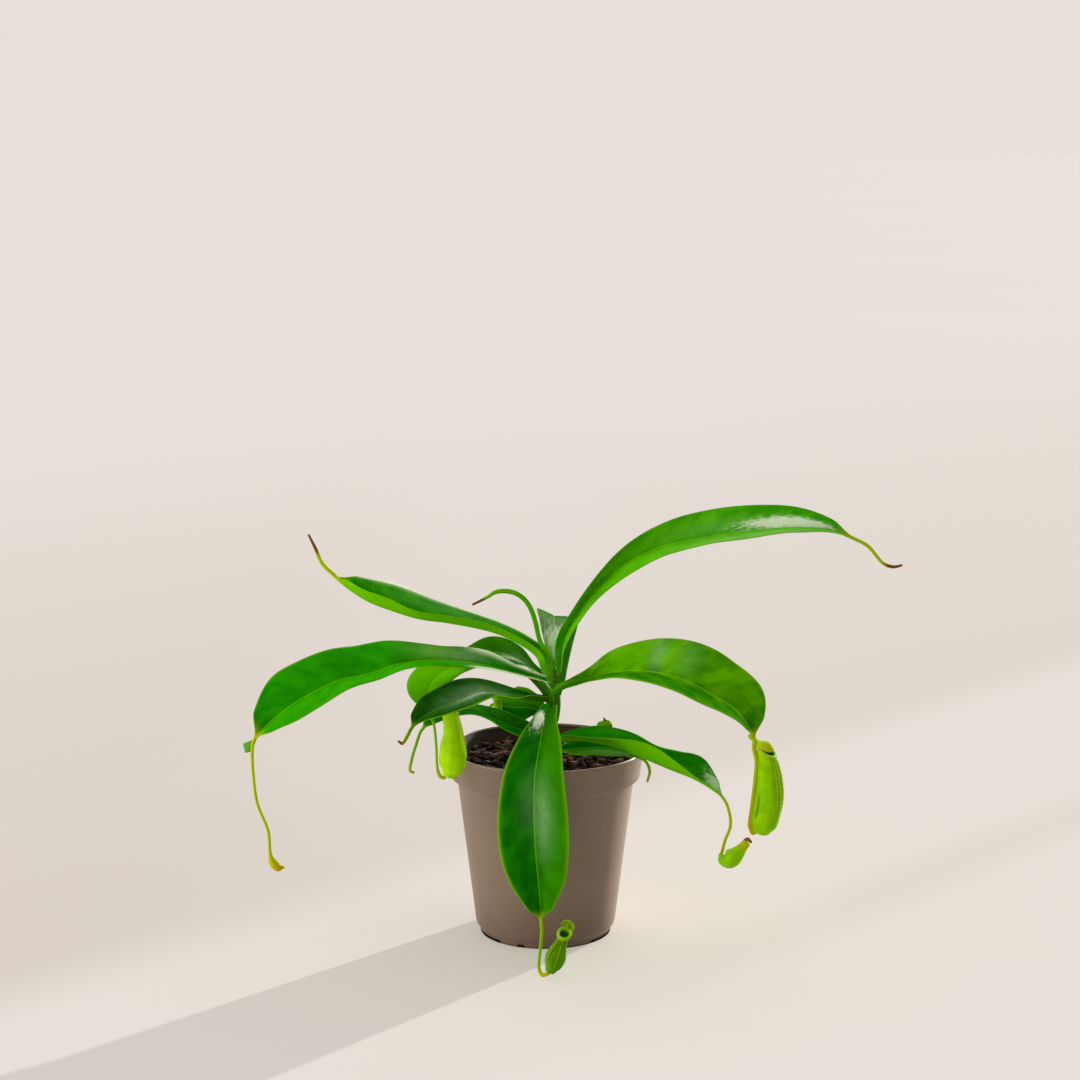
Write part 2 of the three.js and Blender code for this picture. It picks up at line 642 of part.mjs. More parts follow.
function potGeometry() {
  const profile = potProfile().map(([r, z]) => new THREE.Vector2(r, z));
  const body = new THREE.LatheGeometry(profile, POT.segments).rotateX(Math.PI / 2);
  const cutters = [];
  for (let k = 0; k < DRAIN_HOLES.count; k += 1) {
    const turn = (2 * Math.PI * (k + 0.5)) / DRAIN_HOLES.count;
    const hole = new THREE.CylinderGeometry(DRAIN_HOLES.radius, DRAIN_HOLES.radius, 20, 16).rotateX(Math.PI / 2);
    cutters.push(hole.translate(DRAIN_HOLES.ring * Math.cos(turn), DRAIN_HOLES.ring * Math.sin(turn), 0));
  }
  [-30, 90, 210].forEach((turn) => {
    cutters.push(slotCutter(turn, SLOTS.wideDegrees));
    cutters.push(slotCutter(turn + 38, SLOTS.narrowDegrees));
  });
  return cut(body, cutters);
}

// Soil, with coarse chips standing out of its surface

function soilGeometry() {
  const random = randomFrom(SOIL.seed);
  const { rings, top, roughness } = SOIL;
  const { segments } = POT;
  const edgeRadius = POT.rimRadius - POT.wall - 2.2 - GAP;
  const neck = POT.neckRadius - POT.wall - GAP;
  const neckHeight = POT.height - POT.collarHeight - 1;
  const foot = POT.footRadius - 1.2 - GAP;
  const circle = (radius, height) => Array.from({ length: segments }, (_, q) => {
    const turn = (2 * Math.PI * q) / segments;
    return new THREE.Vector3(radius * Math.cos(turn), radius * Math.sin(turn), height);
  });
  const levels = [
    circle(foot, POT.floorTop + GAP), circle(POT.bodyFootRadius - POT.wall - 0.6, POT.footBand + 8),
    circle(neck - 0.1, neckHeight), circle(edgeRadius - 1.4, neckHeight + 4), circle(edgeRadius, top - 2),
  ];
  for (let k = rings; k >= 1; k -= 1) {
    const ring = circle((edgeRadius * k) / (rings + 0.4), top);
    ring.forEach((p) => {
      p.z += roughness * (2 * random() - 1) - (k === rings ? 1 : 0);
      p.x += 1.4 * (random() - 0.5);
      p.y += 1.4 * (random() - 0.5);
    });
    levels.push(ring);
  }
  const pieces = [toGeometry(loft(levels))];
  for (let k = 0; k < SOIL.chips; k += 1) {
    const reach = 9 + (edgeRadius - 16) * Math.sqrt(random());
    const turn = 2 * Math.PI * random();
    const chip = new THREE.BoxGeometry(4 + 5 * random(), 2 + 2.6 * random(), 3.4 + 1.4 * random());
    chip.rotateX(0.7 * (random() - 0.5)).rotateY(0.7 * (random() - 0.5)).rotateZ(2 * Math.PI * random());
    chip.translate(reach * Math.cos(turn), reach * Math.sin(turn), top + 0.2 + 0.8 * random());
    pieces.push(chip);
  }
  const heap = fuse(pieces);
  const [x, y] = STEM.rows[1];
  const hole = new THREE.CylinderGeometry(STEM.holeRadius, STEM.holeRadius, 60, 16).rotateX(Math.PI / 2);
  return cut(heap, [hole.translate(x, y, STEM.rows[0][2] - GAP + 30)]);
}

place('pot', potGeometry(), 'pot');
place('soil', soilGeometry(), 'soil');
place('stem', toGeometry(cane(STEM.rows, 12)), 'stem');
LEAVES.forEach((leaf) => place(leaf.name, toGeometry(leafSolid(leaf)), 'leaf'));
SHOOTS.forEach((shoot) => place(shoot.name, toGeometry(cane(shoot.rows, 8)), 'leaf'));
OPEN_PITCHERS.forEach((spec) => place(spec.name, openPitcher(spec), 'pitcher'));
CLOSED_PITCHERS.forEach((spec) => place(spec.name, closedPitcher(spec), 'pitcher'));

export default group;
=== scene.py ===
# Potted pitcher plant: its looks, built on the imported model.
#
# Metres in Blender, +Z up, the pot's base centre at the origin, the front facing -Y. Places and
# sizes below are in millimetres, as on the plant, and turn to metres where a mesh is made.

import math
import random
from collections import namedtuple

import bmesh
import bpy
import numpy as np
from mathutils import Matrix, Vector


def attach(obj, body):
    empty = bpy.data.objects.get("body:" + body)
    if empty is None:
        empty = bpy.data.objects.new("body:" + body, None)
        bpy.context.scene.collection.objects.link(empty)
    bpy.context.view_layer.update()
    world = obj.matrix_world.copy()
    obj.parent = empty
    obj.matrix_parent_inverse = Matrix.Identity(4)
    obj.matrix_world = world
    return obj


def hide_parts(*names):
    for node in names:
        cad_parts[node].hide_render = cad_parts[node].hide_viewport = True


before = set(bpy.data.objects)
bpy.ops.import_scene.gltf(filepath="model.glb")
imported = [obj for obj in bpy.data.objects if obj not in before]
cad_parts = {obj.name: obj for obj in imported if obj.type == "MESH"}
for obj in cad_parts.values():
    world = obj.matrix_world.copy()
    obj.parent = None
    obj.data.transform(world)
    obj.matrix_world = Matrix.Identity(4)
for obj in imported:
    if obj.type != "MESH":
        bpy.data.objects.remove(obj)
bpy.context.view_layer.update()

MM = 0.001

# Driving dimensions

POT = {
    "height": 115, "rim_radius": 60, "collar_foot_radius": 57.6, "collar_height": 18,
    "neck_radius": 53.7, "body_foot_radius": 43.0, "foot_radius": 39.6, "foot_band": 4.2,
    "wall": 1.4, "floor_top": 3.6, "pad_radius": 20, "channel_radius": 33, "channel_height": 2,
}
DRAIN_HOLES = {"count": 6, "radius": 4, "ring": 26.5}
FOOT_SLOTS = {"turns": (-30, 90, 210), "wide": 34, "narrow": 7, "narrow_after": 38, "height": 1.3}

# flank is the packed soil's radius and height, from the pot's floor up; waves and grit make its top
# lumpy. chip_sizes are the ranges of a bark chip's length, width and thickness, and chip_lift is how
# far it stands above the soil's top.
SOIL = {
    "top": 106.5, "edge_radius": 56.0, "seed": 41,
    "flank": ((38, 4), (41, 12.2), (51.8, 96), (54.6, 100), (56.0, 104.5)),
    "sides": 96, "top_rings": 24, "waves": 9, "grit": 0.6,
    "chips": 560, "clear_of_stem": 5.5, "clear_of_wall": 3.5,
    "chip_sizes": ((3.0, 11.0), (1.5, 4.6), (1.0, 2.9)), "chip_lift": (-0.5, 1.9),
}

# A chip's cut across and lengthwise, in shares of its size, the shares by which its corners are
# knocked about, and the turns it may take about each axis in radians
BARK_CHIP = {
    "cut": ((-0.5, -0.3), (-0.2, -0.5), (0.35, -0.45), (0.5, 0.1), (0.1, 0.5), (-0.4, 0.35)),
    "lengthwise": (-0.5, -0.2, 0.2, 0.5), "end_pinch": 0.55, "knocks": (0.07, 0.14, 0.16),
    "turns": (("Z", 0, 6.3), ("Y", -0.5, 0.5), ("X", -0.6, 0.6)),
}

STEM_ROWS = [
    [2.4, 1, 90, 3.5], [2.4, 1, 101, 3.6], [2.5, 1, 112, 3.6], [3, 1, 124, 3.3], [3.4, 1, 136, 3.4],
    [3.8, 1, 148, 3.1], [4.2, 1, 158, 2.8], [4.4, 1, 163.6, 1.8],
]

# The scars that leaves' feet have left round the stem: how far each swells and darkens it, and the
# reach of both along it
SCARS = {
    "heights": (112.6, 119.5, 123, 134, 139, 145, 151, 156, 158.5, 162),
    "swell": 0.22, "swell_reach": 1.1, "darkness": 0.55, "dark_reach": 0.7,
}

# A leaf foot that clasps the stem: how far it wraps, and the turns over which its edge pales, in
# degrees
CLASP = {"wrap": 78, "edge_from": 58, "edge_to": 76, "points": 17, "thickness": 0.7}

BLADE = {
    "thickness": 0.8, "edge_thickness": 0.5, "edge_bulb": 0.22, "rib_foot": 1.5, "rib_tip": 0.5,
    "groove": 0.3, "groove_reach": 0.45, "gutter": 35, "bulge": 0.08, "ripple_length": 8.5,
    "pleat": 0.1, "steps_per_span": 11, "across": 27, "seat": 0.9,
}

# wing_turn is each wing's turn from the front, in radians
PITCHER = {
    "wall": 0.95, "lip_flare": 0.7, "lip_height": 1.1, "lip_comb": 0.05, "lip_teeth": 28,
    "sides": 56, "steps_per_span": 9, "foot_dome": 0.52, "floor_dip": 1.6,
    "wing_turn": 0.42, "wing_steps": 44, "wing_thickness": 0.26, "hair_radius": 0.13,
}

# The rolled lip, from the mouth's outer edge round to its inner one: out (in flares, or in walls
# where below 0) and up (in lip heights)
LIP_ROLL = [(0.7, 0.02), (1.0, 0.35), (0.9, 0.75), (0.45, 1.05), (0.0, 1.1), (-0.5, 0.98), (-0.85, 0.7)]

# Leaves. A blade row is x, y, z of the midrib, half width and roll in degrees; a tendril row
# is x, y, z and radius. fold is the angle, in degrees, that each half rises from the midrib, and
# slim_foot the share of its width that the half across -1 keeps at the leaf's foot.

LEAVES = [
    {
        "name": "leaf_upper_right", "fold": 30, "widest": 18.5,
        "blade": [
            [9.1, 0.1, 162, 3, 20], [11, 1, 180, 5.4, 40], [19, 3, 196, 5.5, 59], [30, 6, 211, 6.8, 68],
            [49, 9, 227, 9.8, 54], [69, 12, 236, 12.8, 30], [94, 15, 241, 18.5, 14],
            [122, 18, 245, 17.5, 15], [149, 21, 247, 14.7, 17], [172, 23, 245, 7.3, 28],
            [189, 25, 238.5, 2, 46],
        ],
        "tendril": [[197, 26, 234, 1.1], [207, 27, 223, 1], [213, 27, 221, 1], [218, 27, 222, 0.7]],
    },
    {
        "name": "leaf_upper_left", "fold": 44, "widest": 19,
        "blade": [
            [-0.5, 0.7, 161.5, 3, -9], [-4.4, 2, 171, 5.8, -9], [-14, 4, 178, 6.2, -9],
            [-31, 8, 185, 7, -9], [-58, 12, 190, 10.8, -8], [-77, 15, 192, 16.3, -7],
            [-93, 19, 196, 19, -3], [-108, 23, 201, 17, 0], [-120, 26, 208, 10.6, 0], [-130, 28, 216, 3, 2],
        ],
        "tendril": [[-137, 29, 223, 1.2], [-141, 30, 232, 1], [-145, 31, 240, 0.7]],
    },
    {
        "name": "leaf_left", "fold": 27, "widest": 22.5,
        "blade": [
            [1, -1.1, 156, 3, -60], [-18.5, -9, 163, 5, -50], [-35, -16, 169, 9, -42],
            [-50, -23, 173, 9, -45], [-63, -29, 175, 9, -48], [-75, -35, 176, 11.8, -34],
            [-89, -42, 175, 18.4, -19], [-104, -48, 171, 22, -16], [-120, -55, 169, 22.8, -21],
            [-135, -61, 163, 22.5, -26], [-148, -66, 156, 21.3, -27], [-161, -71, 146, 11.5, -36],
            [-168.5, -73, 137, 1.8, -50],
        ],
        "tendril": [
            [-169.5, -74, 131, 1], [-169, -75, 116, 0.9], [-167, -75, 100, 0.9], [-161, -76, 84, 0.9],
            [-160, -76, 70, 1.1], [-158.5, -76, 65, 2.4], [-155.5, -76, 62, 2.4], [-152.5, -76, 62, 0.8],
        ],
    },
    {
        "name": "leaf_right", "fold": 28, "widest": 27,
        "blade": [
            [7.2, -1.2, 151, 3, 75], [18, -7, 156.5, 4.4, 72], [30, -12, 161.5, 7.4, 57],
            [44, -18, 166, 15.8, 36], [63, -25, 167, 24.5, 27], [82, -31, 163.5, 27.5, 26],
            [97, -36, 156.5, 27.5, 25], [112, -40, 148, 24.5, 22], [119, -43, 139, 12.8, 26],
            [122.8, -44, 130.5, 2.4, 40],
        ],
        "tendril": [
            [122.8, -44.4, 125, 1.3], [124.3, -45.8, 118, 1.3], [123.8, -46.2, 107, 1.3],
            [122.7, -46.5, 96, 1.3], [121.9, -46.5, 86, 1.6], [121.5, -46.3, 78.6, 1.9],
            [123.1, -45.6, 74.6, 2.2],
        ],
    },
    {
        "name": "leaf_front", "slim_foot": 0.42, "fold": 14, "widest": 21.5,
        "blade": [
            [3.2, -2.9, 139, 3.2, -2], [1, -14, 142, 6.4, -2], [-0.4, -26, 141, 7.9, -1],
            [-1.6, -38, 137, 9.2, 2], [-4, -56, 128, 14.4, 7], [-6.6, -68, 114, 18.8, 8],
            [-7, -76, 93, 21.5, 7], [-6, -81, 72, 20.8, 6], [-4.4, -84, 56, 16.6, 0],
            [-3.2, -86, 41.5, 8.8, -6], [-2.8, -87, 33.6, 3.6, -8],
        ],
        "tendril": [
            [-2.4, -88, 28, 0.9], [-3, -89, 19, 0.9], [-4, -90, 10, 0.9], [-3.8, -91.4, 5.2, 1],
            [-2, -92.8, 2.7, 1.1], [1.5, -93.3, 3.8, 1.1],
        ],
    },
    {
        "name": "leaf_lower_left", "fold": 15, "widest": 18,
        "blade": [
            [1, -1.4, 145, 2.8, -4], [-12.5, -13, 149, 6.4, -6], [-27, -27, 154.5, 15.5, -12],
            [-40, -38, 157.5, 18, -8], [-53, -49, 154.5, 18, -6], [-65, -58, 151.5, 13.5, -11],
            [-74, -64, 147, 6.1, -20], [-78, -67, 142.5, 1.6, -27],
        ],
        "tendril": [[-80, -69, 139, 1], [-83, -70, 134.5, 0.9], [-85, -71, 136, 0.7]],
    },
    {
        "name": "leaf_lower_left_back", "fold": 12, "widest": 12,
        "blade": [
            [-0.6, -1.7, 123, 2.8, -34], [-12.5, -4, 126, 8.5, -30], [-25.5, -8, 132, 11, -20],
            [-37, -12, 138, 10.5, -8], [-48, -17, 141, 9.4, -2], [-60, -21, 139, 8.4, -2],
            [-68.5, -24, 136, 6.4, -7], [-74, -26, 131.5, 2, -13],
        ],
        "tendril": [[-77, -27, 124, 0.9], [-80, -28, 114, 0.9], [-81, -28, 107, 0.9], [-79, -28, 106, 0.8]],
    },
    {
        "name": "leaf_lower_right", "fold": 46, "widest": 14,
        "blade": [
            [6.5, -1, 119.5, 3, 20], [18, -8, 122, 6.2, 24], [28, -16, 123, 9.7, 20],
            [45, -27, 121.5, 12, 0], [59.5, -35.5, 117.5, 13.2, -18], [74, -41.5, 112.5, 14.2, -7],
            [87, -46, 108, 13.8, 10], [98, -49, 102, 6.6, 20], [104.8, -51, 96.2, 1.8, 26],
        ],
        "tendril": [
            [107.8, -52.5, 89.3, 0.9], [108.8, -53, 80.4, 0.9], [105.8, -53, 71.5, 0.9],
            [103.8, -53, 63.6, 1],
        ],
    },
    {
        "name": "leaf_back_left", "fold": 14, "widest": 16,
        "blade": [
            [1.2, 3.8, 156, 2.6, -15], [-8.6, 7.2, 162.4, 3.6, -22], [-18.6, 7.6, 168.6, 8.8, -25],
            [-31, 6, 172.2, 11.2, -23], [-45, 0.5, 168.4, 10.4, -14], [-60, -8, 164.6, 14.2, -4],
            [-69.4, -20, 158.4, 14.2, 1], [-70, -28.5, 151, 9, 1], [-68.4, -35, 145.6, 2.2, 1],
        ],
        "tendril": [
            [-67.4, -39.6, 142.6, 0.9], [-65.8, -43, 138.4, 0.8], [-65, -44, 132, 0.8],
            [-64.5, -44, 124, 0.8], [-64.3, -44, 116, 0.8], [-63.5, -44, 110.4, 1], [-62, -44, 107.6, 1.1],
            [-59.9, -44, 106.9, 1],
        ],
    },
    {
        "name": "leaf_back", "fold": 10, "widest": 18,
        "blade": [
            [6.1, 5.1, 158.2, 3.1, 4], [6.6, 8.1, 170, 5.6, 10], [6.2, 12, 180, 8.6, 18],
            [5.8, 20, 187, 10.8, 25], [5.6, 33, 188.6, 11.4, 28], [5.6, 50, 185.5, 11.6, 24],
            [5.6, 68, 176.5, 9, 10], [5.4, 82, 164.5, 5.5, 2], [5, 88, 155, 2, 0],
        ],
        "tendril": [[3, 91, 146, 1], [3, 92, 134, 0.9], [6, 91, 124, 0.9], [9, 89, 121, 0.7]],
    },
    {
        "name": "leaf_inner_left", "fold": 14, "widest": 13,
        "blade": [
            [-0.1, 3.6, 134, 2.8, -34], [-6.2, 7.8, 136.4, 7.8, -48], [-12.4, 11.6, 136.6, 11.8, -58],
            [-18.4, 14, 136, 12.8, -58], [-24.2, 15.6, 136.2, 10, -50], [-29.5, 16.4, 137, 5.6, -40],
            [-32.5, 15.6, 137.2, 1.8, -30],
        ],
        "tendril": [[-34, 12.6, 136.4, 0.9], [-34.5, 9, 135.2, 0.9], [-34.1, 6.4, 134.6, 0.9]],
    },
    {
        "name": "leaf_lower_right_small", "fold": 22, "widest": 8,
        "blade": [
            [6.3, -1.1, 112.6, 2.4, 34], [19, -8, 115.5, 5.8, 48], [31, -15, 118, 5.8, 56],
            [43, -21, 118.5, 5.4, 58], [53, -27, 117.5, 3.4, 56], [60, -31, 113, 1.4, 50],
        ],
        "tendril": [[62, -32.5, 108, 0.9], [60.6, -33.5, 102, 0.7]],
    },
]

# Pitchers. A body row is x, y, z and radius, from the foot up. A groove is its turn round the body
# in degrees, the rows between which it runs, and its depth.

OPEN_PITCHERS = [
    {
        "name": "pitcher_right", "finish": "lime", "front": [0.86, -0.5, 0],
        "body": [
            [127.2, -44, 76, 6.6], [128.6, -44, 79.8, 8.7], [130.5, -44, 87, 8.8], [131.5, -44, 96.5, 8.4],
            [131.3, -44, 107, 7.3], [130.6, -44, 117, 6.1], [130.1, -44, 123.5, 5.3],
        ],
        "mouth_slope": 0.75,
        "lid": {
            "length": 11.4, "width": 9.8, "rise": -17, "dome": 2.8,
            "warm": 0.6, "sink": -0.2, "thick": 2.2,
        },
        "grooves": [(-103, 1.2, 3.4, 0.6)],
        "spur": [
            [126.6, -41.4, 127.4, 1.2], [123.6, -40, 129.2, 1], [121.2, -39.8, 130.8, 1.5],
            [120.4, -39.8, 131.5, 1],
        ],
        "wings": {"from": 2, "to": 6, "height": 1.8},
    },
    {
        "name": "pitcher_front", "finish": "shaded", "front": [-0.35, -0.94, 0],
        "body": [
            [2.6, -93.4, 5.6, 3.2], [4.1, -93.2, 9, 5.2], [5.6, -93, 13.2, 6], [7.2, -92.6, 18, 4.9],
            [9, -92.3, 22.5, 3.4], [10.6, -92, 27, 3.7],
        ],
        "mouth_slope": 0.7,
        "lid": {
            "length": 8.0, "width": 8.4, "rise": 72, "dome": 1.0,
            "warm": 0.25, "sink": 2.0, "thick": 0.62,
        },
        "wings": {"from": 1, "to": 5, "height": 1.3},
    },
    {
        "name": "pitcher_left", "finish": "yellow", "front": [0.9, 0.44, 0],
        "body": [
            [-56.9, -43.8, 109.4, 4.7], [-55.6, -43.8, 113.2, 7.2], [-54.9, -43.8, 119.5, 8.1],
            [-55, -43.8, 127, 7.1], [-55, -43.8, 135, 5.3], [-56, -43.8, 143, 4.6],
            [-56.4, -43.8, 147.5, 4.8],
        ],
        "mouth_slope": 0.6,
        "lid": {
            "length": 9.5, "width": 8.5, "rise": 24, "dome": 0.75,
            "warm": 0.6, "sink": 0, "thick": 0.62,
        },
        "wings": {"from": 2, "to": 6, "height": 1.4},
    },
]

CLOSED_PITCHERS = [
    {
        "name": "pitcher_small_right", "finish": "lime",
        "body": [
            [103.4, -53, 62.2, 1.6], [104.6, -53, 60.2, 3.6], [107.8, -53, 59.8, 5.4],
            [111, -53, 61.8, 5.4], [113.9, -53, 64.6, 4], [116.3, -53, 67.5, 2.9], [118.3, -53, 69.8, 2.6],
        ],
        "lid": [[117.3, -53, 71.8, 0.7], [119.1, -53, 72.2, 1.1], [120.9, -53, 70.6, 0.9]],
        "dried": 0.9, "warm": 0.6,
    },
    {
        "name": "pitcher_young", "finish": "lime",
        "body": [
            [-32.4, 5, 133.4, 1.1], [-31, 4.6, 133, 1.8], [-29.7, 4.4, 135.2, 2.8],
            [-29.2, 4.4, 138.4, 2.7], [-29.2, 4.2, 141.2, 2.5], [-29.4, 4, 143.6, 2.8],
        ],
        "lid": [[-31.4, 4.2, 144.8, 1.6], [-29.4, 4, 145.8, 2.3], [-27.4, 3.8, 145, 1.6]],
        "dried": 0.0, "warm": 0.0,
    },
]

SHOOTS = [
    {
        "name": "young_leaf", "dried": 10, "knobs": 0, "ripe": 0.25,
        "rows": [
            [4.3, 1.1, 164.4, 1.4], [3.3, 0.8, 168.5, 1.5], [0.9, 0.3, 173.4, 1.5], [-3.2, 0.4, 180, 1.5],
            [-6.2, 0, 192, 1.5], [-8.8, -1, 200, 1.5], [-13, -2, 206.5, 1.5], [-18.5, -3, 210.4, 1.5],
            [-24.5, -4, 211.8, 1.5], [-30.4, -5, 211.2, 1.3], [-35, -6, 208.4, 1], [-43.5, -8, 204.4, 0.7],
        ],
    },
    {
        "name": "young_shoot", "dried": 0.1, "knobs": 0.15, "ripe": 0.55,
        "tuft": [[36.2, 11.4, 128.6, 0.8], [36, 11.4, 129.3, 0.6], [35.6, 11.4, 129.9, 0.35]],
        "rows": [
            [5, 4.9, 112, 1.3], [14, 9, 113.5, 1.5], [24, 11, 116, 1.7], [31, 12, 120.4, 2.1],
            [34.6, 12, 125, 2.6], [37.2, 12, 126.4, 2.4], [39.4, 12, 124.8, 1.5],
        ],
    },
]

# Each leaf's finish and its dried tendril tip in mm. halves tells how far its two halves, across -1
# and +1, go towards lime (above 0) or deep green (below 0): painted light and painted shade on one
# half. The highlight patches are painted highlights, where the blade is whitened and its coat is
# glossiest: row along, share across, their reaches and strength. The sheen, shade and light patches
# are its softer painted sheen, its painted shade and its painted light that turns it limier, told
# the same way. pale_edges, lime_edges and the lime rows are ranges of rows: where an edge carries a
# painted highlight or is lime (-1, 1 or 0 for both), and where the whole blade turns lime.
# pale_reach is the highlighted edge's share of a half.

LEAF_LOOKS = {
    "leaf_upper_right": {
        "tone": "sunlit", "dried": 14, "halves": (0.6, 0.1), "lime_edges": (-1, 3, 10),
        "highlights": [(8.1, 0.22, 1.1, 0.24, 1.5)],
        "haze": [(6.4, 0.3, 1.3, 0.3, 0.15), (7.4, -0.7, 1.8, 0.3, 0.45)],
        "light": [(5.2, 0.4, 1.8, 0.5, 0.4)],
    },
    "leaf_upper_left": {
        "tone": "sunlit", "dried": 16, "halves": (-0.45, 0.85), "pale_edges": (-1, 1.4, 9.6),
        "haze": [(4.0, -0.6, 2.0, 0.2, 0.25)],
    },
    "leaf_left": {
        "tone": "even", "halves": (0.0, 0.1), "pale_edges": (0, 0, 3.2), "pale_reach": 0.45,
        "light": [(4.1, -0.5, 1.0, 0.5, 1.1)], "highlights": [(3.1, -0.3, 0.7, 0.2, 0.25)],
        "haze": [(4.0, -0.6, 1.1, 0.4, 0.45), (2.9, -0.35, 0.9, 0.4, 0.6)],
    },
    "leaf_right": {
        "tone": "banded", "halves": (-0.75, 0.2), "lime_edges": (-1, 3, 9),
        "haze": [(4.05, 0.5, 0.2, 0.42, 0.55), (4.9, 0.5, 0.3, 0.4, 0.2)],
        "shade": [(5.3, 0.35, 0.3, 0.4, 0.6), (6.6, 0.1, 0.5, 0.3, 0.4), (8.4, 0.3, 1.0, 0.8, 0.75)],
        "light": [(3.2, 0.4, 0.7, 0.6, 0.45), (4.6, 0.6, 0.4, 0.5, 0.25), (6.1, 0.5, 0.4, 0.4, 0.3)],
    },
    "leaf_front": {
        "tone": "deep", "halves": (-0.1, 0.2), "lime_edges": (0, 1, 10),
        "highlights": [(2.55, -0.45, 0.7, 0.42, 1.3)],
        "haze": [(6.1, 0.3, 0.9, 0.24, 0.55), (5.6, -0.1, 0.7, 0.3, 0.2)],
    },
    "leaf_lower_left": {
        "tone": "shaded", "dried": 3, "lime_edges": (1, 2, 7),
        "highlights": [(3.3, 0.2, 0.9, 0.22, 0.45)],
        "haze": [(3.2, 0.05, 1.3, 0.5, 0.6), (2.4, 0.4, 0.5, 0.2, 0.4)],
    },
    "leaf_lower_left_back": {"tone": "deep", "halves": (0.1, -0.2), "lime_edges": (1, 0.6, 6)},
    "leaf_lower_right": {
        "tone": "sunlit", "halves": (1.0, -0.7), "highlights": [(7.1, 0.45, 0.7, 0.5, 1.2)],
    },
    "leaf_back_left": {
        "tone": "pale", "fresh": (4.2, 5.2), "pale_edges": (1, 0, 2.4),
        "highlights": [(2.1, 0.25, 0.8, 0.25, 0.7)], "haze": [(1.6, 0.0, 0.8, 0.4, 0.7)],
    },
    "leaf_back": {
        "tone": "shaded", "dried": 4, "highlights": [(1.5, -0.1, 1.2, 1.0, 1.2)],
        "haze": [(2.0, 0.0, 1.6, 1.4, 1.0)],
    },
    "leaf_inner_left": {"tone": "deep", "halves": (0.35, -0.2), "lime_edges": (0, 1, 6)},
    "leaf_lower_right_small": {
        "tone": "deep", "halves": (0.6, 0), "lime_edges": (-1, 0, 5),
        "haze": [(3.0, -0.5, 1.3, 0.3, 0.7)],
    },
}

# The spent tip of the left leaf, which has dried into a small pale flap: its corners in mm

LEFT_LEAF_FLAP = [(-166.8, -72.2, 138.3), (-175, -72, 135), (-173.9, -72, 129.4), (-169.6, -73, 130.6)]

# Leaf feet that clasp the stem. A row is x, y, z and half width in mm; out is the way each faces.

SHEATHS = [
    {
        "rows": [
            [3.2, -2.4, 147, 1.2], [1.6, -2.6, 152, 2.6], [0.4, -2.3, 158, 3.6], [0.0, -1.6, 165, 3.4],
            [-1.8, -0.6, 171.5, 2.4], [-4.4, 0.6, 175.5, 1.0],
        ],
        "out": (-0.35, -0.94, 0), "dark": 0.1,
    },
    {
        "rows": [
            [8.8, -1.2, 147, 1.0], [10.3, -0.8, 155, 2.6], [11.5, 0, 163, 3.1], [13.1, 1, 171, 3.3],
            [15.0, 2.2, 179, 3.3], [17.5, 3.6, 187, 2.7], [20.3, 4.8, 195, 1.0],
        ],
        "out": (0.5, -0.87, 0), "dark": 0.7,
    },
    {
        "rows": [
            [4.9, -2.8, 127, 1.4], [4.9, -3.0, 131, 3.2], [5.1, -3.3, 137, 4.2], [5.3, -3.3, 144, 4.3],
            [5.6, -2.9, 150, 3.2], [5.8, -2.6, 154, 1.2],
        ],
        "out": (0.1, -0.99, 0), "dark": 0.6,
    },
    {
        "rows": [
            [3.4, -2.8, 137, 1.0], [2.6, -3.2, 141, 2.4], [1.4, -3.7, 145, 3.2], [-0.9, -4.1, 149.5, 3.6],
            [-3.9, -4.9, 153.4, 3.5], [-7.3, -6.2, 156.8, 2.3], [-10.6, -7.2, 159.4, 0.8],
        ],
        "out": (-0.5, -0.86, 0), "dark": 0.55,
    },
    {
        "rows": [
            [2.2, -3.6, 145.5, 0.9], [4.6, -4.6, 148.3, 1.8], [8.2, -4.8, 151.2, 2.3],
            [12.6, -5.6, 154, 2.3], [17.4, -7.2, 156.4, 2.0], [22, -9, 158.2, 0.8],
        ],
        "out": (0.1, -0.95, -0.3), "dark": 0.05,
    },
]

# The photograph's camera, as solved from the pot's rim and base: metres, degrees and lens in mm

CAMERA = {"place": (-0.0034, -1.433, 0.482), "tilt_down": 9.5, "lens": 80.75, "sensor": 36.0}

# Lights: each sun's strength, and each softbox's place and two sides, in metres, and power in watts

SUN_DIRECTION = (0.657, 0.754, 0.27)
SUNLIGHT = {"low_sun": 2.0, "pot_rim_sun": 9.0, "floor_fill": 1.1}
SOFTBOXES = [
    ("back_softbox", (0.35, 1.7, 1.15), (1.5, 0.7), 34),
    ("left_softbox", (-1.75, -0.6, 0.5), (1.1, 1.1), 30),
    ("overhead_softbox", (0.1, -0.2, 1.7), (1.2, 1.2), 8),
    ("right_softbox", (1.2, 1.0, 0.45), (1.1, 0.9), 10),
]
WARM_WHITE = (1.0, 0.965, 0.92)
PLANT_MIDDLE = (0, 0, 0.14)
SKY = {"colour": (1.0, 0.97, 0.94, 1), "strength": 0.42, "seen_as": (0.80, 0.742, 0.697, 1)}


# Curves through rows

def hermite(start, end, slope_in, slope_out, w):
    """Value at share w of a span, from its ends and the slopes there."""
    rise = end - start
    return (start + slope_in * w + (3 * rise - 2 * slope_in - slope_out) * w**2
            + (slope_in + slope_out - 2 * rise) * w**3)


def span_at(count, t):
    """The span that t rows on falls in, and the share along it."""
    i = int(min(max(math.floor(t), 0), count - 2))
    return i, t - i


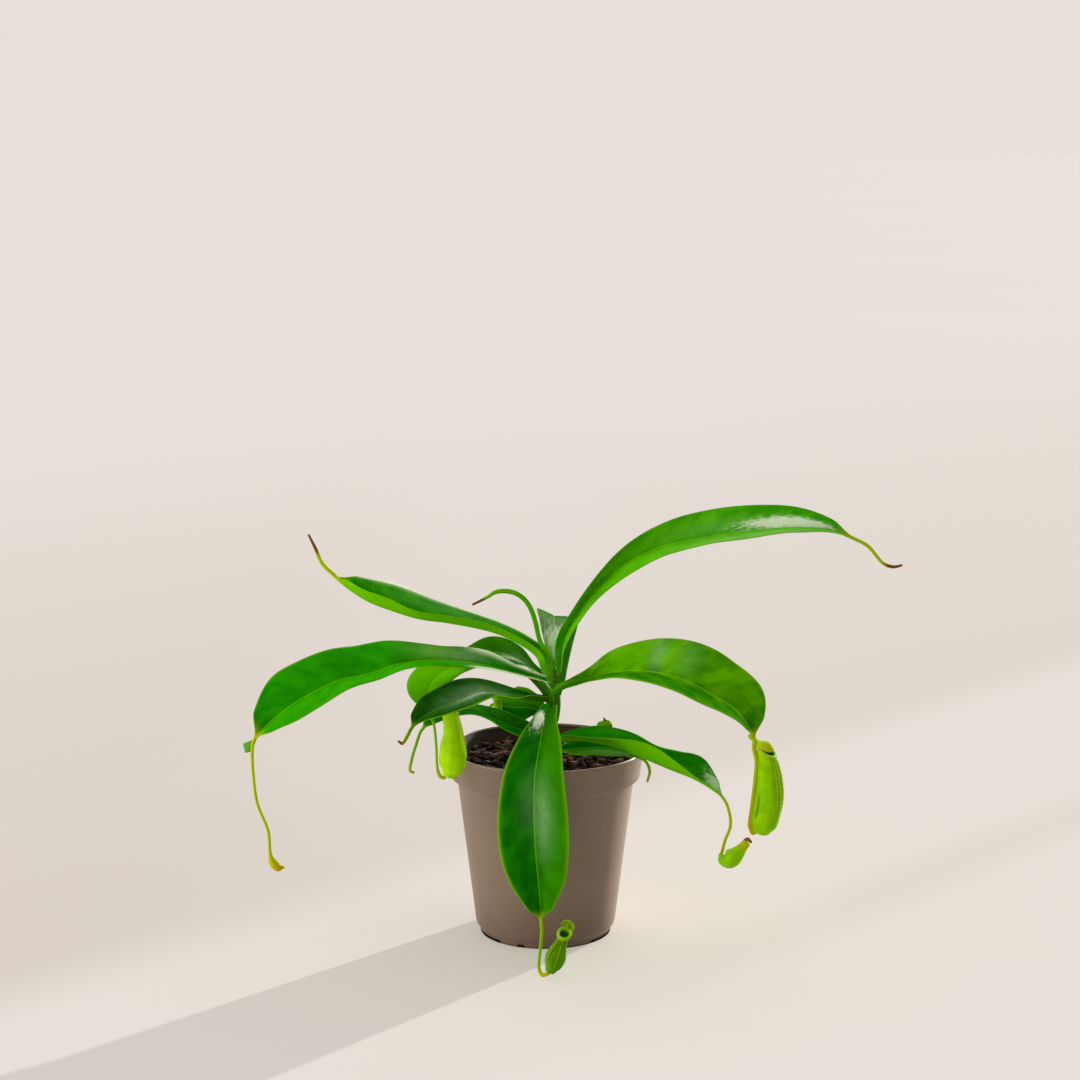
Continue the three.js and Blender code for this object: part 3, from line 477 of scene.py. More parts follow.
def curve_point(rows, t):
    """Point on the centripetal curve through the rows, t rows on from the first."""
    i, w = span_at(len(rows), t)
    p1, p2 = rows[i], rows[i + 1]
    p0 = rows[i - 1] if i > 0 else 2 * rows[0] - rows[1]
    p3 = rows[i + 2] if i + 2 < len(rows) else 2 * rows[-1] - rows[-2]
    d0, d1, d2 = (max(np.linalg.norm(b - a) ** 0.5, 1e-4) for a, b in ((p0, p1), (p1, p2), (p2, p3)))
    slope_in = ((p1 - p0) / d0 - (p2 - p0) / (d0 + d1) + (p2 - p1) / d1) * d1
    slope_out = ((p2 - p1) / d1 - (p3 - p1) / (d1 + d2) + (p3 - p2) / d2) * d1
    return hermite(p1, p2, slope_in, slope_out, w)


def eased(values, t):
    """Value between given rows, eased the same way on every channel."""
    i, w = span_at(len(values), t)
    start, end = values[i], values[i + 1]
    before, after = values[max(i - 1, 0)], values[min(i + 2, len(values) - 1)]
    return hermite(start, end, (end - before) / 2, (after - start) / 2, w)


def smooth_step(x, low, high):
    s = min(max((x - low) / (high - low), 0), 1)
    return s * s * (3 - 2 * s)


def between(x, low, risen, falling, high):
    """Share that rises from 0 to 1 over low..risen, and goes back to 0 over falling..high."""
    return smooth_step(x, low, risen) * (1 - smooth_step(x, falling, high))


def fourth(rows):
    """The fourth number of each row, which is its radius or half width."""
    return [row[3] for row in rows]


Station = namedtuple("Station", "t centre side top along run")


def stations_along(rows, steps_per_span, first_side=None):
    """Stations on the rows' curve, with side and top vectors that don't twist and the run in mm."""
    points = np.array([row[:3] for row in rows], float)
    last = len(points) - 1
    nudge = 1e-3
    stations = []
    side = None if first_side is None else np.array(first_side, float)
    run = 0
    for k in range(last * steps_per_span + 1):
        t = k / steps_per_span
        centre = curve_point(points, t)
        along = curve_point(points, min(t + nudge, last)) - curve_point(points, max(t - nudge, 0))
        along /= np.linalg.norm(along)
        if side is None:
            side = np.cross([0, 0, 1], along)
        side = side - along * side.dot(along)
        side /= np.linalg.norm(side)
        if stations:
            run += np.linalg.norm(centre - stations[-1].centre)
        stations.append(Station(t, centre, side, np.cross(along, side), along, run))
    return stations


# Meshes

class Shell:
    """Points in mm, faces, and a value per point for each of the marks that the finishes read."""

    def __init__(self):
        self.points = []
        self.faces = []
        self.marks = {}

    def add(self, points, faces, **marks):
        start = len(self.points)
        self.points.extend([tuple(p) for p in points])
        self.faces.extend([tuple(start + i for i in face) for face in faces])
        for key in set(self.marks) | set(marks):
            blank = (0.0, 0.0, 0.0) if key == "place" else 0.0
            held = self.marks.setdefault(key, [blank] * start)
            given = marks.get(key, blank)
            same = np.ndim(given) == np.ndim(blank)
            held.extend([given] * len(points) if same else list(given))

    def loft(self, rings, foot=None, tip=None, **marks):
        """A closed body through rings of points, ending at a middle point at each end."""
        size, count = len(rings[0]), len(rings)
        points = [p for ring in rings for p in ring]
        points.append(np.mean(rings[0], 0) if foot is None else foot)
        points.append(np.mean(rings[-1], 0) if tip is None else tip)
        foot_point, tip_point, last_ring = count * size, count * size + 1, (count - 1) * size
        faces = []
        for i in range(count - 1):
            for q in range(size):
                a, b = i * size + q, i * size + (q + 1) % size
                faces.append((a, b, b + size, a + size))
        for q in range(size):
            faces.append((q, foot_point, (q + 1) % size))
            faces.append((last_ring + q, last_ring + (q + 1) % size, tip_point))
        per_point = {}
        for key, value in marks.items():
            if np.ndim(value) == 0 or key == "place" and np.ndim(value) == 1:
                per_point[key] = value
            elif len(value) == count:
                per_point[key] = [v for v in value for _ in range(size)] + [value[0], value[-1]]
            else:
                per_point[key] = list(value) + [value[0], value[-1]]
        self.add(points, faces, **per_point)

    def make(self, name, material):
        mesh = bpy.data.meshes.new(name)
        mesh.from_pydata([tuple(c * MM for c in p) for p in self.points], [], self.faces)
        for key, values in self.marks.items():
            kind, field = ("FLOAT_VECTOR", "vector") if key == "place" else ("FLOAT", "value")
            held = mesh.attributes.new(key, kind, "POINT")
            held.data.foreach_set(field, np.array(values, np.float32).ravel())
        work = bmesh.new()
        work.from_mesh(mesh)
        bmesh.ops.recalc_face_normals(work, faces=work.faces)
        work.to_mesh(mesh)
        work.free()
        mesh.shade_smooth()
        mesh.materials.append(material)
        piece = bpy.data.objects.new(name, mesh)
        bpy.context.scene.collection.objects.link(piece)
        return piece


def circle_angles(count):
    return [2 * math.pi * q / count for q in range(count)]


def level_circle(radius, height, sides, centre=(0, 0)):
    x, y = centre
    return [
        np.array([x + radius * math.cos(a), y + radius * math.sin(a), height]) for a in circle_angles(sides)
    ]


def round_ring(station, radius, sides, shape=None):
    """Ring round a station. shape turns an angle into a share of the radius."""
    ring = []
    for angle in circle_angles(sides):
        reach = radius * (shape(angle) if shape else 1)
        across, up = reach * math.cos(angle), reach * math.sin(angle)
        ring.append(station.centre + station.side * across + station.top * up)
    return ring


def ribbed(ribs):
    """The shape of a ring with shallow ribs round it."""
    return lambda angle: 1 + 0.015 * math.cos(ribs * angle)


def round_end(ring, middle, outward, radius):
    """Rings that close a cane in a dome, going outward from its last ring."""
    steps, rings = 3, []
    for k in range(1, steps + 1):
        turn = math.pi / 2 * k / (steps + 0.4)
        share, shift = math.cos(turn), outward * radius * math.sin(turn)
        rings.append([middle + (p - middle) * share + shift for p in ring])
    return rings


def round_both_ends(rings, stations, foot_radius, tip_radius):
    """The rings with a dome before the first and one after the last."""
    first, last = stations[0], stations[-1]
    foot = round_end(rings[0], first.centre, -first.along, foot_radius)[::-1]
    return foot + rings + round_end(rings[-1], last.centre, last.along, tip_radius)


def cane(shell, rows, sides, **marks):
    """A round cane through rows of x, y, z and radius."""
    stations = stations_along(rows, 6)
    radii = fourth(rows)
    rings = [round_ring(s, eased(radii, s.t), sides) for s in stations]
    shell.loft(round_both_ends(rings, stations, radii[0], radii[-1]), **marks)


def dress(name, piece):
    """The piece stands for its node and takes its place: it hangs from the root body, and the node is hidden.
    """
    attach(piece, "root")
    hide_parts(name)
    return piece


# Shader nodes

def feed(tree, socket, value):
    if isinstance(value, bpy.types.Node):
        value = next(out for out in value.outputs if out.enabled)
    if isinstance(value, bpy.types.NodeSocket):
        tree.links.new(value, socket)
    else:
        socket.default_value = value


def node(tree, kind, values=None, **settings):
    made = tree.nodes.new(kind)
    for key, value in settings.items():
        setattr(made, key, value)
    for key, value in (values or {}).items():
        feed(tree, made.inputs[key], value)
    return made


def maths(tree, operation, a, b=0.0, clamp=False):
    return node(tree, "ShaderNodeMath", {0: a, 1: b}, operation=operation, use_clamp=clamp)


def plus(tree, a, b):
    return maths(tree, "ADD", a, b)


def minus(tree, a, b):
    return maths(tree, "SUBTRACT", a, b)


def times(tree, a, b):
    return maths(tree, "MULTIPLY", a, b)


def spread(tree, value, low, high, to_low=0.0, to_high=1.0):
    """Value eased from low..high to to_low..to_high."""
    return node(tree, "ShaderNodeMapRange", {
        "Value": value, "From Min": low, "From Max": high, "To Min": to_low, "To Max": to_high,
    }, interpolation_type="SMOOTHSTEP")


def share_to(tree, share, to_low, to_high):
    """A share from 0 to 1, eased to to_low..to_high."""
    return spread(tree, share, 0.0, 1.0, to_low, to_high)


def blend_colours(tree, share, a, b):
    made = node(tree, "ShaderNodeMix", data_type="RGBA", blend_type="MIX", clamp_factor=True)
    feed(tree, made.inputs["Factor"], share)
    feed(tree, made.inputs[6], a)
    feed(tree, made.inputs[7], b)
    return made.outputs[2]


def painted(tree, skin, *coats):
    """The skin with coats laid over it in turn: where a coat lies, how strong it is, and its colour."""
    for mask, strength, colour in coats:
        skin = blend_colours(tree, mask if strength == 1 else times(tree, mask, strength), skin, colour)
    return skin


def mark(tree, name, output="Fac"):
    return node(tree, "ShaderNodeAttribute", attribute_type="GEOMETRY", attribute_name=name).outputs[output]


def object_place(tree):
    return node(tree, "ShaderNodeTexCoord").outputs["Object"]


def parts_of(tree, vector):
    return node(tree, "ShaderNodeSeparateXYZ", {"Vector": vector}).outputs


def noise(tree, where, scale, detail, **values):
    settings = {"Vector": where, "Scale": scale, "Detail": detail, **values}
    return node(tree, "ShaderNodeTexNoise", settings).outputs["Fac"]


def per_metre(tree, size):
    """A texture's scale, from the size in millimetres that its patches should have."""
    return maths(tree, "DIVIDE", 1 / MM, size)


def linear(red, green, blue):
    """Paint given as 0 to 255 on screen, as the shader's linear colour."""
    def channel(c):
        c /= 255
        return c / 12.92 if c <= 0.04045 else ((c + 0.055) / 1.055) ** 2.4
    return (channel(red), channel(green), channel(blue), 1.0)


def new_group(name, inputs, outputs):
    """A group's tree and the sockets in it. An input that starts as None is a vector, as a Normal is."""
    tree = bpy.data.node_groups.new(name, "ShaderNodeTree")
    for label, start in inputs.items():
        kind = "NodeSocketVector" if start is None else "NodeSocketFloat"
        socket = tree.interface.new_socket(label, in_out="INPUT", socket_type=kind)
        if start is not None:
            socket.default_value = start
    for label in outputs:
        kind = "NodeSocketVector" if label == "Normal" else "NodeSocketFloat"
        tree.interface.new_socket(label, in_out="OUTPUT", socket_type=kind)
    return tree, tree.nodes.new("NodeGroupInput").outputs, tree.nodes.new("NodeGroupOutput").inputs


def feed_all(tree, sockets, **values):
    """Each value goes to the socket of its name, where a space stands as _ here."""
    for key, value in values.items():
        feed(tree, sockets[key.replace("_", " ")], value)


def use_group(tree, group, **values):
    made = node(tree, "ShaderNodeGroup", node_tree=group)
    feed_all(tree, made.inputs, **values)
    return made.outputs


def mottle_group():
    """Soft cloudy patches over the object, from 0 to 1, at a size given in millimetres."""
    tree, given, out = new_group("Mottle", {"Size": 10.0, "Detail": 3.0, "Contrast": 0.25}, ["Mask"])
    cloud = noise(tree, object_place(tree), per_metre(tree, given["Size"]), given["Detail"])
    low, high = minus(tree, 0.5, given["Contrast"]), plus(tree, 0.5, given["Contrast"])
    feed(tree, out["Mask"], spread(tree, cloud, low, high))
    return tree


def specks_group():
    """Small round specks scattered over the object; Share is how many cells hold one."""
    tree, given, out = new_group("Specks", {"Size": 4.0, "Share": 0.2, "Reach": 0.2}, ["Mask"])
    cells = node(tree, "ShaderNodeTexVoronoi", {
        "Vector": object_place(tree), "Scale": per_metre(tree, given["Size"]),
    }, feature="F1")
    lots = node(tree, "ShaderNodeSeparateColor", {"Color": cells.outputs["Color"]}).outputs
    chosen = maths(tree, "LESS_THAN", lots[0], given["Share"])
    reach = times(tree, given["Reach"], lots[1])
    spot = spread(tree, cells.outputs["Distance"], times(tree, reach, 0.4), reach, 1.0, 0.0)
    feed(tree, out["Mask"], maths(tree, "MULTIPLY", chosen, spot, clamp=True))
    return tree


def leaf_markings_group():
    """Midrib, side veins, cross bands and edge line, from a place of mm across, mm along, share across."""
    tree, given, out = new_group(
        "Leaf_markings",
        {"Place": None, "Rib width": 0.62, "Band length": 18.0},
        ["Rib", "Veins", "Bands", "Edge", "Streaks"],
    )
    parts = parts_of(tree, given["Place"])
    across_mm = maths(tree, "ABSOLUTE", parts["X"])
    share = maths(tree, "ABSOLUTE", parts["Z"])
    inner = times(tree, given["Rib width"], 0.35)
    feed(tree, out["Rib"], spread(tree, across_mm, inner, given["Rib width"], 1.0, 0.0))
    # Six fine veins on each side run the length of the blade, and slanting ones cross them
    lengthwise = maths(tree, "PINGPONG", times(tree, share, 6.5), 0.5)
    long_lines = spread(tree, lengthwise, 0.0, 0.1, 1.0, 0.0)
    slant = minus(tree, parts["Y"], times(tree, across_mm, 0.55))
    crosswise = maths(tree, "PINGPONG", times(tree, slant, 0.42), 0.5)
    cross_lines = spread(tree, crosswise, 0.0, 0.12, 0.7, 0.0)
    feed(tree, out["Veins"], maths(tree, "MAXIMUM", long_lines, cross_lines))
    squeezed = node(tree, "ShaderNodeCombineXYZ", {
        "X": times(tree, parts["Z"], 1.1), "Y": maths(tree, "DIVIDE", slant, given["Band length"]),
    })
    feed(tree, out["Bands"], spread(tree, noise(tree, squeezed, 1.6, 2.0), 0.32, 0.68))
    feed(tree, out["Edge"], spread(tree, share, 0.94, 0.995))
    drawn_out = node(tree, "ShaderNodeCombineXYZ", {
        "X": times(tree, parts["X"], 0.75), "Y": times(tree, parts["Y"], 0.22),
    })
    feed(tree, out["Streaks"], spread(tree, noise(tree, drawn_out, 1.0, 6.0, Roughness=0.62), 0.34, 0.64))
    return tree


def fine_skin_group():
    """Normal of a skin with fine grain, from a height and the grain's size in millimetres."""
    tree, given, out = new_group(
        "Fine_skin", {"Height": 0.0, "Grain size": 0.8, "Grain": 0.3, "Depth": 0.0002}, ["Normal"],
    )
    grain = noise(tree, object_place(tree), per_metre(tree, given["Grain size"]), 2.0)
    height = plus(tree, given["Height"], times(tree, grain, given["Grain"]))
    feed(tree, out["Normal"], node(tree, "ShaderNodeBump", {"Height": height, "Distance": given["Depth"]}))
    return tree


MOTTLE = mottle_group()
SPECKS = specks_group()
LEAF_MARKINGS = leaf_markings_group()
FINE_SKIN = fine_skin_group()


def mottled(tree, size, detail, contrast):
    return use_group(tree, MOTTLE, Size=size, Detail=detail, Contrast=contrast)["Mask"]


def specked(tree, size, share, reach):
    return use_group(tree, SPECKS, Size=size, Share=share, Reach=reach)["Mask"]


def grained(tree, height, grain_size, grain, depth):
    """The normal of a skin with fine grain. Its grain's size is in mm and its depth in metres."""
    skin = use_group(tree, FINE_SKIN, Height=height, Grain_size=grain_size, Grain=grain, Depth=depth)
    return skin["Normal"]


def new_material(name, **values):
    """A material with an empty tree but for its Principled shader, whose plain values are set here."""
    material = bpy.data.materials.new(name)
    material.use_nodes = True
    tree = material.node_tree
    tree.nodes.clear()
    shader = node(tree, "ShaderNodeBsdfPrincipled")
    feed_all(tree, shader.inputs, **values)
    feed(tree, node(tree, "ShaderNodeOutputMaterial").inputs["Surface"], shader.outputs[0])
    return material, tree, shader.inputs


# Finishes

# Paints are told as seen on screen, each channel from 0 to 255. Each leaf tone has its deep and its
# bright top, underside, midrib and tendril.
# The leaf tones are lit and shaded copies of one skin: sunlit carries painted light, shaded painted shade,
# and the others lie between, each with its leaves' own green
LEAF_TONES = {
    "sunlit": [(16, 124, 0), (72, 170, 0), (92, 170, 0), (116, 186, 0), (156, 186, 0)],
    "banded": [(6, 98, 0), (98, 173, 0), (84, 160, 0), (120, 182, 0), (166, 180, 0)],
    "even": [(14, 126, 0), (40, 152, 0), (92, 170, 0), (112, 176, 0), (170, 188, 0)],
    "deep": [(0, 80, 0), (24, 116, 0), (84, 150, 0), (86, 158, 0), (128, 178, 0)],
    "shaded": [(4, 62, 0), (26, 96, 0), (76, 146, 0), (84, 142, 0), (108, 150, 0)],
    "pale": [(30, 100, 0), (56, 132, 0), (104, 186, 0), (100, 170, 0), (134, 186, 0)],
}

# Each pitcher tone's skin, its paler patches and its inner wall, which is darker as painted shade within the
# pitcher. shaded is the whole skin painted darker, as painted shade.
PITCHER_TONES = {
    "lime": [(126, 188, 0), (150, 210, 0), (84, 138, 0)],
    "yellow": [(150, 206, 0), (176, 228, 6), (96, 150, 0)],
    "shaded": [(72, 128, 0), (96, 150, 0), (52, 96, 0)],
}

PAINT = {name: linear(*shown) for name, shown in {
    "dried": (116, 72, 38), "edge_line": (118, 150, 6), "leaf_speck": (104, 92, 26),
    # The next line's first lime is partly painted light, and its near-white is a painted highlight on edges
    "fresh_lime": (98, 184, 0), "edge_highlight": (238, 242, 208), "lime_edge": (108, 168, 10),
    # The next line's two pale paints are the painted highlight and painted sheen on leaves
    "highlight_colour": (224, 234, 206), "sheen_colour": (158, 184, 138), "ripe_tendril": (186, 172, 10),
    "pitcher_shade": (58, 112, 6), "pitcher_speck": (120, 104, 20), "pitcher_lip": (140, 190, 24),
    "pitcher_blush": (190, 160, 24),
    "stem_deep": (36, 100, 0), "stem_bright": (84, 146, 4), "stem_scar": (70, 62, 26),
    "sheath_bright": (70, 150, 0), "sheath_deep": (6, 74, 0), "sheath_cloud": (96, 164, 0),
    "sheath_edge": (124, 176, 20),
    # The pot's foot paint is painted shade towards the foot, its inside paint painted shade within, and its
    # gap paint a painted shadow under it
    "pot_deep": (114, 93, 77), "pot_bright": (122, 100, 83), "pot_dust": (150, 132, 116),
    "pot_scuff": (168, 150, 134), "pot_foot_shade": (99, 80, 65), "pot_inside_shade": (50, 30, 21),
    "pot_gap_shade": (82, 66, 55),
    "peat_deep": (10, 5, 4), "peat_bright": (34, 20, 15), "bark_deep": (18, 10, 7),
    "bark_bright": (168, 124, 98), "bark_fibre": (18, 11, 8),
}.items()}

# The paper's colours are linear
PAPER = {"deep": (0.862, 0.815, 0.786, 1), "bright": (0.872, 0.83, 0.798, 1), "shade": (0.75, 0.694, 0.66, 1)}


def leaf_material(tone):
    deep, bright, underside, midrib, tendril = (linear(*shown) for shown in LEAF_TONES[tone])
    material, tree, sockets = new_material(
        "leaf_" + tone,
        Subsurface_Weight=0.15, Subsurface_Radius=(0.35, 1.0, 0.05), Subsurface_Scale=0.0008,
        IOR=1.45, Specular_IOR_Level=0.0, Coat_Roughness=0.24, Coat_IOR=1.5,
    )
    lines = use_group(tree, LEAF_MARKINGS, Place=mark(tree, "place", "Vector"))
    cloud = mottled(tree, 9.0, 4.0, 0.3)
    under, on_tendril, fresh = (mark(tree, name) for name in ("under", "tendril", "fresh"))
    brightness = plus(tree, plus(tree, times(tree, lines["Bands"], 0.7), times(tree, cloud, 0.2)), 0.1)
    top = painted(
        tree, deep,
        # the lime coat is partly painted light
        (brightness, 1, bright), (lines["Veins"], 0.22, bright), (fresh, 0.85, PAINT["fresh_lime"]),
        # the deep green coat is painted shade
        (mark(tree, "sombre"), 0.85, deep), (lines["Rib"], 0.75, midrib),
    )
    below = painted(
        tree, underside,
        (cloud, 0.35, bright), (lines["Veins"], 0.3, bright), (lines["Rib"], 0.6, midrib),
        (fresh, 0.85, PAINT["fresh_lime"]),
    )
    # Painted sheen: the sheen patches pale the skin softly along the streaks
    sheen_mask = times(tree, mark(tree, "haze"), share_to(tree, lines["Streaks"], 0.42, 0.6))
    # Painted highlights: the highlight patches whiten the skin, broken up along the streaks
    highlight_breaks = share_to(tree, lines["Streaks"], 0.34, 0.0)
    highlight = spread(tree, minus(tree, mark(tree, "gloss"), highlight_breaks), 0.0, 0.8)
    skin = painted(
        tree, top,
        (under, 1, below), (specked(tree, 7.0, 0.16, 0.13), 0.7, PAINT["leaf_speck"]),
        (lines["Edge"], 0.55, PAINT["edge_line"]), (mark(tree, "lime_edge"), 0.7, PAINT["lime_edge"]),
        (mark(tree, "pale_edge"), 1, PAINT["edge_highlight"]), (sheen_mask, 1, PAINT["sheen_colour"]),
        (highlight, 0.85, PAINT["highlight_colour"]),
        (on_tendril, 1, painted(tree, tendril, (mark(tree, "ripe"), 1, PAINT["ripe_tendril"]))),
        (mark(tree, "dried"), 1, PAINT["dried"]),
    )
    # Only the blade's top has a waxy coat, strongest where the painted highlight is
    gloss = mottled(tree, 2.2, 6.0, 0.16)
    on_top = times(tree, minus(tree, 1.0, under), minus(tree, 1.0, on_tendril))
    shine = times(tree, share_to(tree, gloss, 0.25, 1.0), share_to(tree, highlight, 0.012, 1.0))
    rough = plus(tree, share_to(tree, gloss, 0.46, 0.62), times(tree, under, 0.2))
    relief = plus(tree, times(tree, lines["Veins"], -0.5), times(tree, lines["Bands"], 0.5))
    feed_all(
        tree, sockets, Base_Color=skin, Coat_Weight=times(tree, shine, on_top),
        Roughness=plus(tree, rough, times(tree, on_tendril, 0.08)),
        Normal=grained(tree, relief, 0.7, 0.35, 0.00012),
    )
    return material


def pitcher_material(tone):
    flank, belly, throat = (linear(*shown) for shown in PITCHER_TONES[tone])
    material, tree, sockets = new_material(
        "pitcher_" + tone,
        Subsurface_Weight=0.2, Subsurface_Radius=(0.6, 1.0, 0.05), Subsurface_Scale=0.0012,
        IOR=1.45, Specular_IOR_Level=0.03,
    )
    cloud = mottled(tree, 7.0, 3.0, 0.28)
    fine = mottled(tree, 1.1, 4.0, 0.22)
    skin = painted(
        tree, flank,
        (cloud, 1, belly), (fine, 0.18, throat), (mark(tree, "shade"), 1, PAINT["pitcher_shade"]),
        # painted shade: the inner wall takes the darker throat colour
        (mark(tree, "inside"), 1, throat), (specked(tree, 3.2, 0.2, 0.16), 0.45, PAINT["pitcher_speck"]),
        (mark(tree, "rim"), 1, PAINT["pitcher_lip"]), (mark(tree, "warm"), 1, PAINT["pitcher_blush"]),
        (mark(tree, "dried"), 1, PAINT["dried"]),
    )
    feed_all(
        tree, sockets, Base_Color=skin, Roughness=share_to(tree, fine, 0.3, 0.46),
        Normal=grained(tree, cloud, 0.5, 0.4, 0.00012),
    )
    return material


def stem_material():
    material, tree, sockets = new_material(
        "stem_skin", Subsurface_Weight=0.1, Subsurface_Radius=(0.5, 1.0, 0.05), Subsurface_Scale=0.001,
        IOR=1.45, Specular_IOR_Level=0.08,
    )
    cloud = mottled(tree, 4.0, 4.0, 0.3)
    sheath = painted(
        tree, PAINT["sheath_bright"],
        (mark(tree, "dark"), 1, PAINT["sheath_deep"]), (cloud, 0.3, PAINT["sheath_cloud"]),
        (mark(tree, "edge"), 0.5, PAINT["sheath_edge"]),
    )
    skin = painted(
        tree, PAINT["stem_deep"],
        (cloud, 1, PAINT["stem_bright"]), (mark(tree, "scar"), 1, PAINT["stem_scar"]),
        (mark(tree, "sheath"), 1, sheath),
    )
    feed_all(
        tree, sockets, Base_Color=skin, Roughness=share_to(tree, cloud, 0.34, 0.5),
        Normal=grained(tree, cloud, 0.6, 0.5, 0.0002),
    )
    return material


def pot_material():
    material, tree, sockets = new_material("pot_plastic", IOR=1.46, Specular_IOR_Level=0.45)
    dust = mottled(tree, 2.4, 6.0, 0.2)
    inside = mark(tree, "inside")
    # Painted shade: the wall darkens towards the foot
    foot_shade = spread(tree, parts_of(tree, object_place(tree))["Z"], 2 * MM, 40 * MM, 0.8, 0.0)
    skin = painted(
        tree, PAINT["pot_deep"],
        (mottled(tree, 34.0, 4.0, 0.3), 1, PAINT["pot_bright"]), (dust, 0.14, PAINT["pot_dust"]),
        (specked(tree, 9.0, 0.12, 0.06), 0.35, PAINT["pot_scuff"]), (foot_shade, 1, PAINT["pot_foot_shade"]),
        # painted shade: the inner wall and floor are dark brown
        (inside, 1, PAINT["pot_inside_shade"]),
    )
    feed_all(
        tree, sockets, Base_Color=skin,
        Roughness=plus(tree, share_to(tree, dust, 0.36, 0.46), times(tree, inside, 0.4)),
        Normal=grained(tree, 0.0, 0.9, 0.5, 0.00004),
    )
    return material


def soil_material():
    material, tree, sockets = new_material("bark_and_peat", IOR=1.4, Specular_IOR_Level=0.03)
    cloud = mottled(tree, 3.0, 6.0, 0.3)
    fibre = mottled(tree, 0.8, 6.0, 0.2)
    bark = painted(tree, PAINT["bark_deep"], (mark(tree, "tone"), 1, PAINT["bark_bright"]))
    skin = painted(
        tree, PAINT["peat_deep"],
        (cloud, 1, PAINT["peat_bright"]), (mark(tree, "chip"), 1, bark), (fibre, 0.4, PAINT["bark_fibre"]),
    )
    feed_all(
        tree, sockets, Base_Color=skin, Roughness=share_to(tree, cloud, 0.55, 0.9),
        Normal=grained(tree, fibre, 0.5, 0.9, 0.0005),
    )
    return material


def stage_material():
    """Paper with painted shadow: darkest just behind a slanting line, with a faint painted shadow band along
    before it.
    """
    material, tree, sockets = new_material("pale_paper", Roughness=0.9, Specular_IOR_Level=0.05)
    paper = painted(tree, PAPER["deep"], (mottled(tree, 900.0, 1.0, 0.4), 1, PAPER["bright"]))
    spot = parts_of(tree, object_place(tree))
    behind = minus(tree, times(tree, spot["Y"], 0.674), times(tree, spot["X"], 0.739))
    near = times(tree, spread(tree, behind, 0.1, 0.19), spread(tree, behind, 0.2, 0.45, 1.0, 0.75))
    near = times(tree, near, spread(tree, spot["X"], -0.32, -0.08, 1.0, 0.6))
    far = spread(tree, behind, 0.3, 2.2, 1.0, 0.0)
    off_band = maths(tree, "ABSOLUTE", plus(tree, behind, 0.112))
    rightward = spread(tree, spot["X"], -0.05, 0.3, 0.2, 1.0)
    band = times(tree, spread(tree, off_band, 0.0, 0.05, 0.4, 0.0), rightward)
    shade = plus(tree, times(tree, near, far), band)
    feed(tree, sockets["Base Color"], painted(tree, paper, (shade, 1, PAPER["shade"])))
    return material


# Pot

def pot_profile():
    """Radius and height round the wall, from the middle of the base out, up and back down inside."""
    high, rim, collar = POT["height"], POT["rim_radius"], POT["collar_foot_radius"]
    neck, waist, foot = POT["neck_radius"], POT["body_foot_radius"], POT["foot_radius"]
    pad, channel, hollow = POT["pad_radius"], POT["channel_radius"], POT["channel_height"]
    band, wall, floor = POT["foot_band"], POT["wall"], POT["floor_top"]
    ledge = high - POT["collar_height"]
    base = [
        (0, 0), (pad - 0.3, 0), (pad, 0.25), (pad + 0.9, hollow - 0.2), (pad + 1.3, hollow),
        (channel - 1.3, hollow), (channel - 0.9, hollow - 0.2), (channel, 0.2), (channel + 0.3, 0),
        (foot - 0.35, 0), (foot, 0.3), (foot + 0.7, band - 1.0), (foot + 0.9, band - 0.5),
        (foot + 1.6, band), (foot + 2.6, band + 1.3), (waist - 0.35, band + 3), (waist - 0.05, band + 4.6),
        (waist + 0.2, band + 7),
    ]
    widening, rise = neck - waist - 0.2, ledge - 1.2 - band - 7
    body = [(waist + 0.2 + widening * k / 10, band + 7 + rise * k / 10) for k in range(1, 11)]
    rolled_collar = [
        (neck + 0.35, ledge - 0.6), (neck + 1.4, ledge - 0.1), (collar - 1.3, ledge + 0.1),
        (collar - 0.4, ledge + 0.45), (collar, ledge + 1.3), (collar + 0.5, ledge + 5),
        (rim - 0.75, high - 5), (rim - 0.25, high - 2.2), (rim, high - 1.3), (rim - 0.1, high - 0.5),
        (rim - 0.45, high - 0.08), (rim - 0.8, high), (rim - 1.2, high - 0.12), (rim - 1.5, high - 0.55),
    ]
    inner = [
        (rim - 1.7, high - 1.4), (collar - wall, ledge + 1.6), (neck - wall + 0.6, ledge + 0.2),
        (neck - wall, ledge - 1), (waist - wall, band + 7), (foot - 0.4, floor), (0, floor),
    ]
    return base + body + rolled_collar + inner, len(inner)


def foot_slots():
    """The middle and the width of each slot in the foot ring, in degrees."""
    for turn in FOOT_SLOTS["turns"]:
        yield turn, FOOT_SLOTS["wide"]
        yield turn + FOOT_SLOTS["narrow_after"], FOOT_SLOTS["narrow"]


def slot_lift(turn):
    """How far the foot ring's lower edge is cut up at this turn, in mm."""
    cut = any(abs((turn - middle + 180) % 360 - 180) < width / 2 for middle, width in foot_slots())
    return FOOT_SLOTS["height"] if cut else 0


def pot_turns():
    """Turns of the lathe in degrees, with a close pair at each end of each foot slot."""
    turns = set(np.round(np.arange(0, 360, 1.875), 3))
    for middle, width in foot_slots():
        for end in (middle - width / 2, middle + width / 2):
            turns |= {round((end + nudge) % 360, 3) for nudge in (-0.15, 0.15)}
    return sorted(turns)


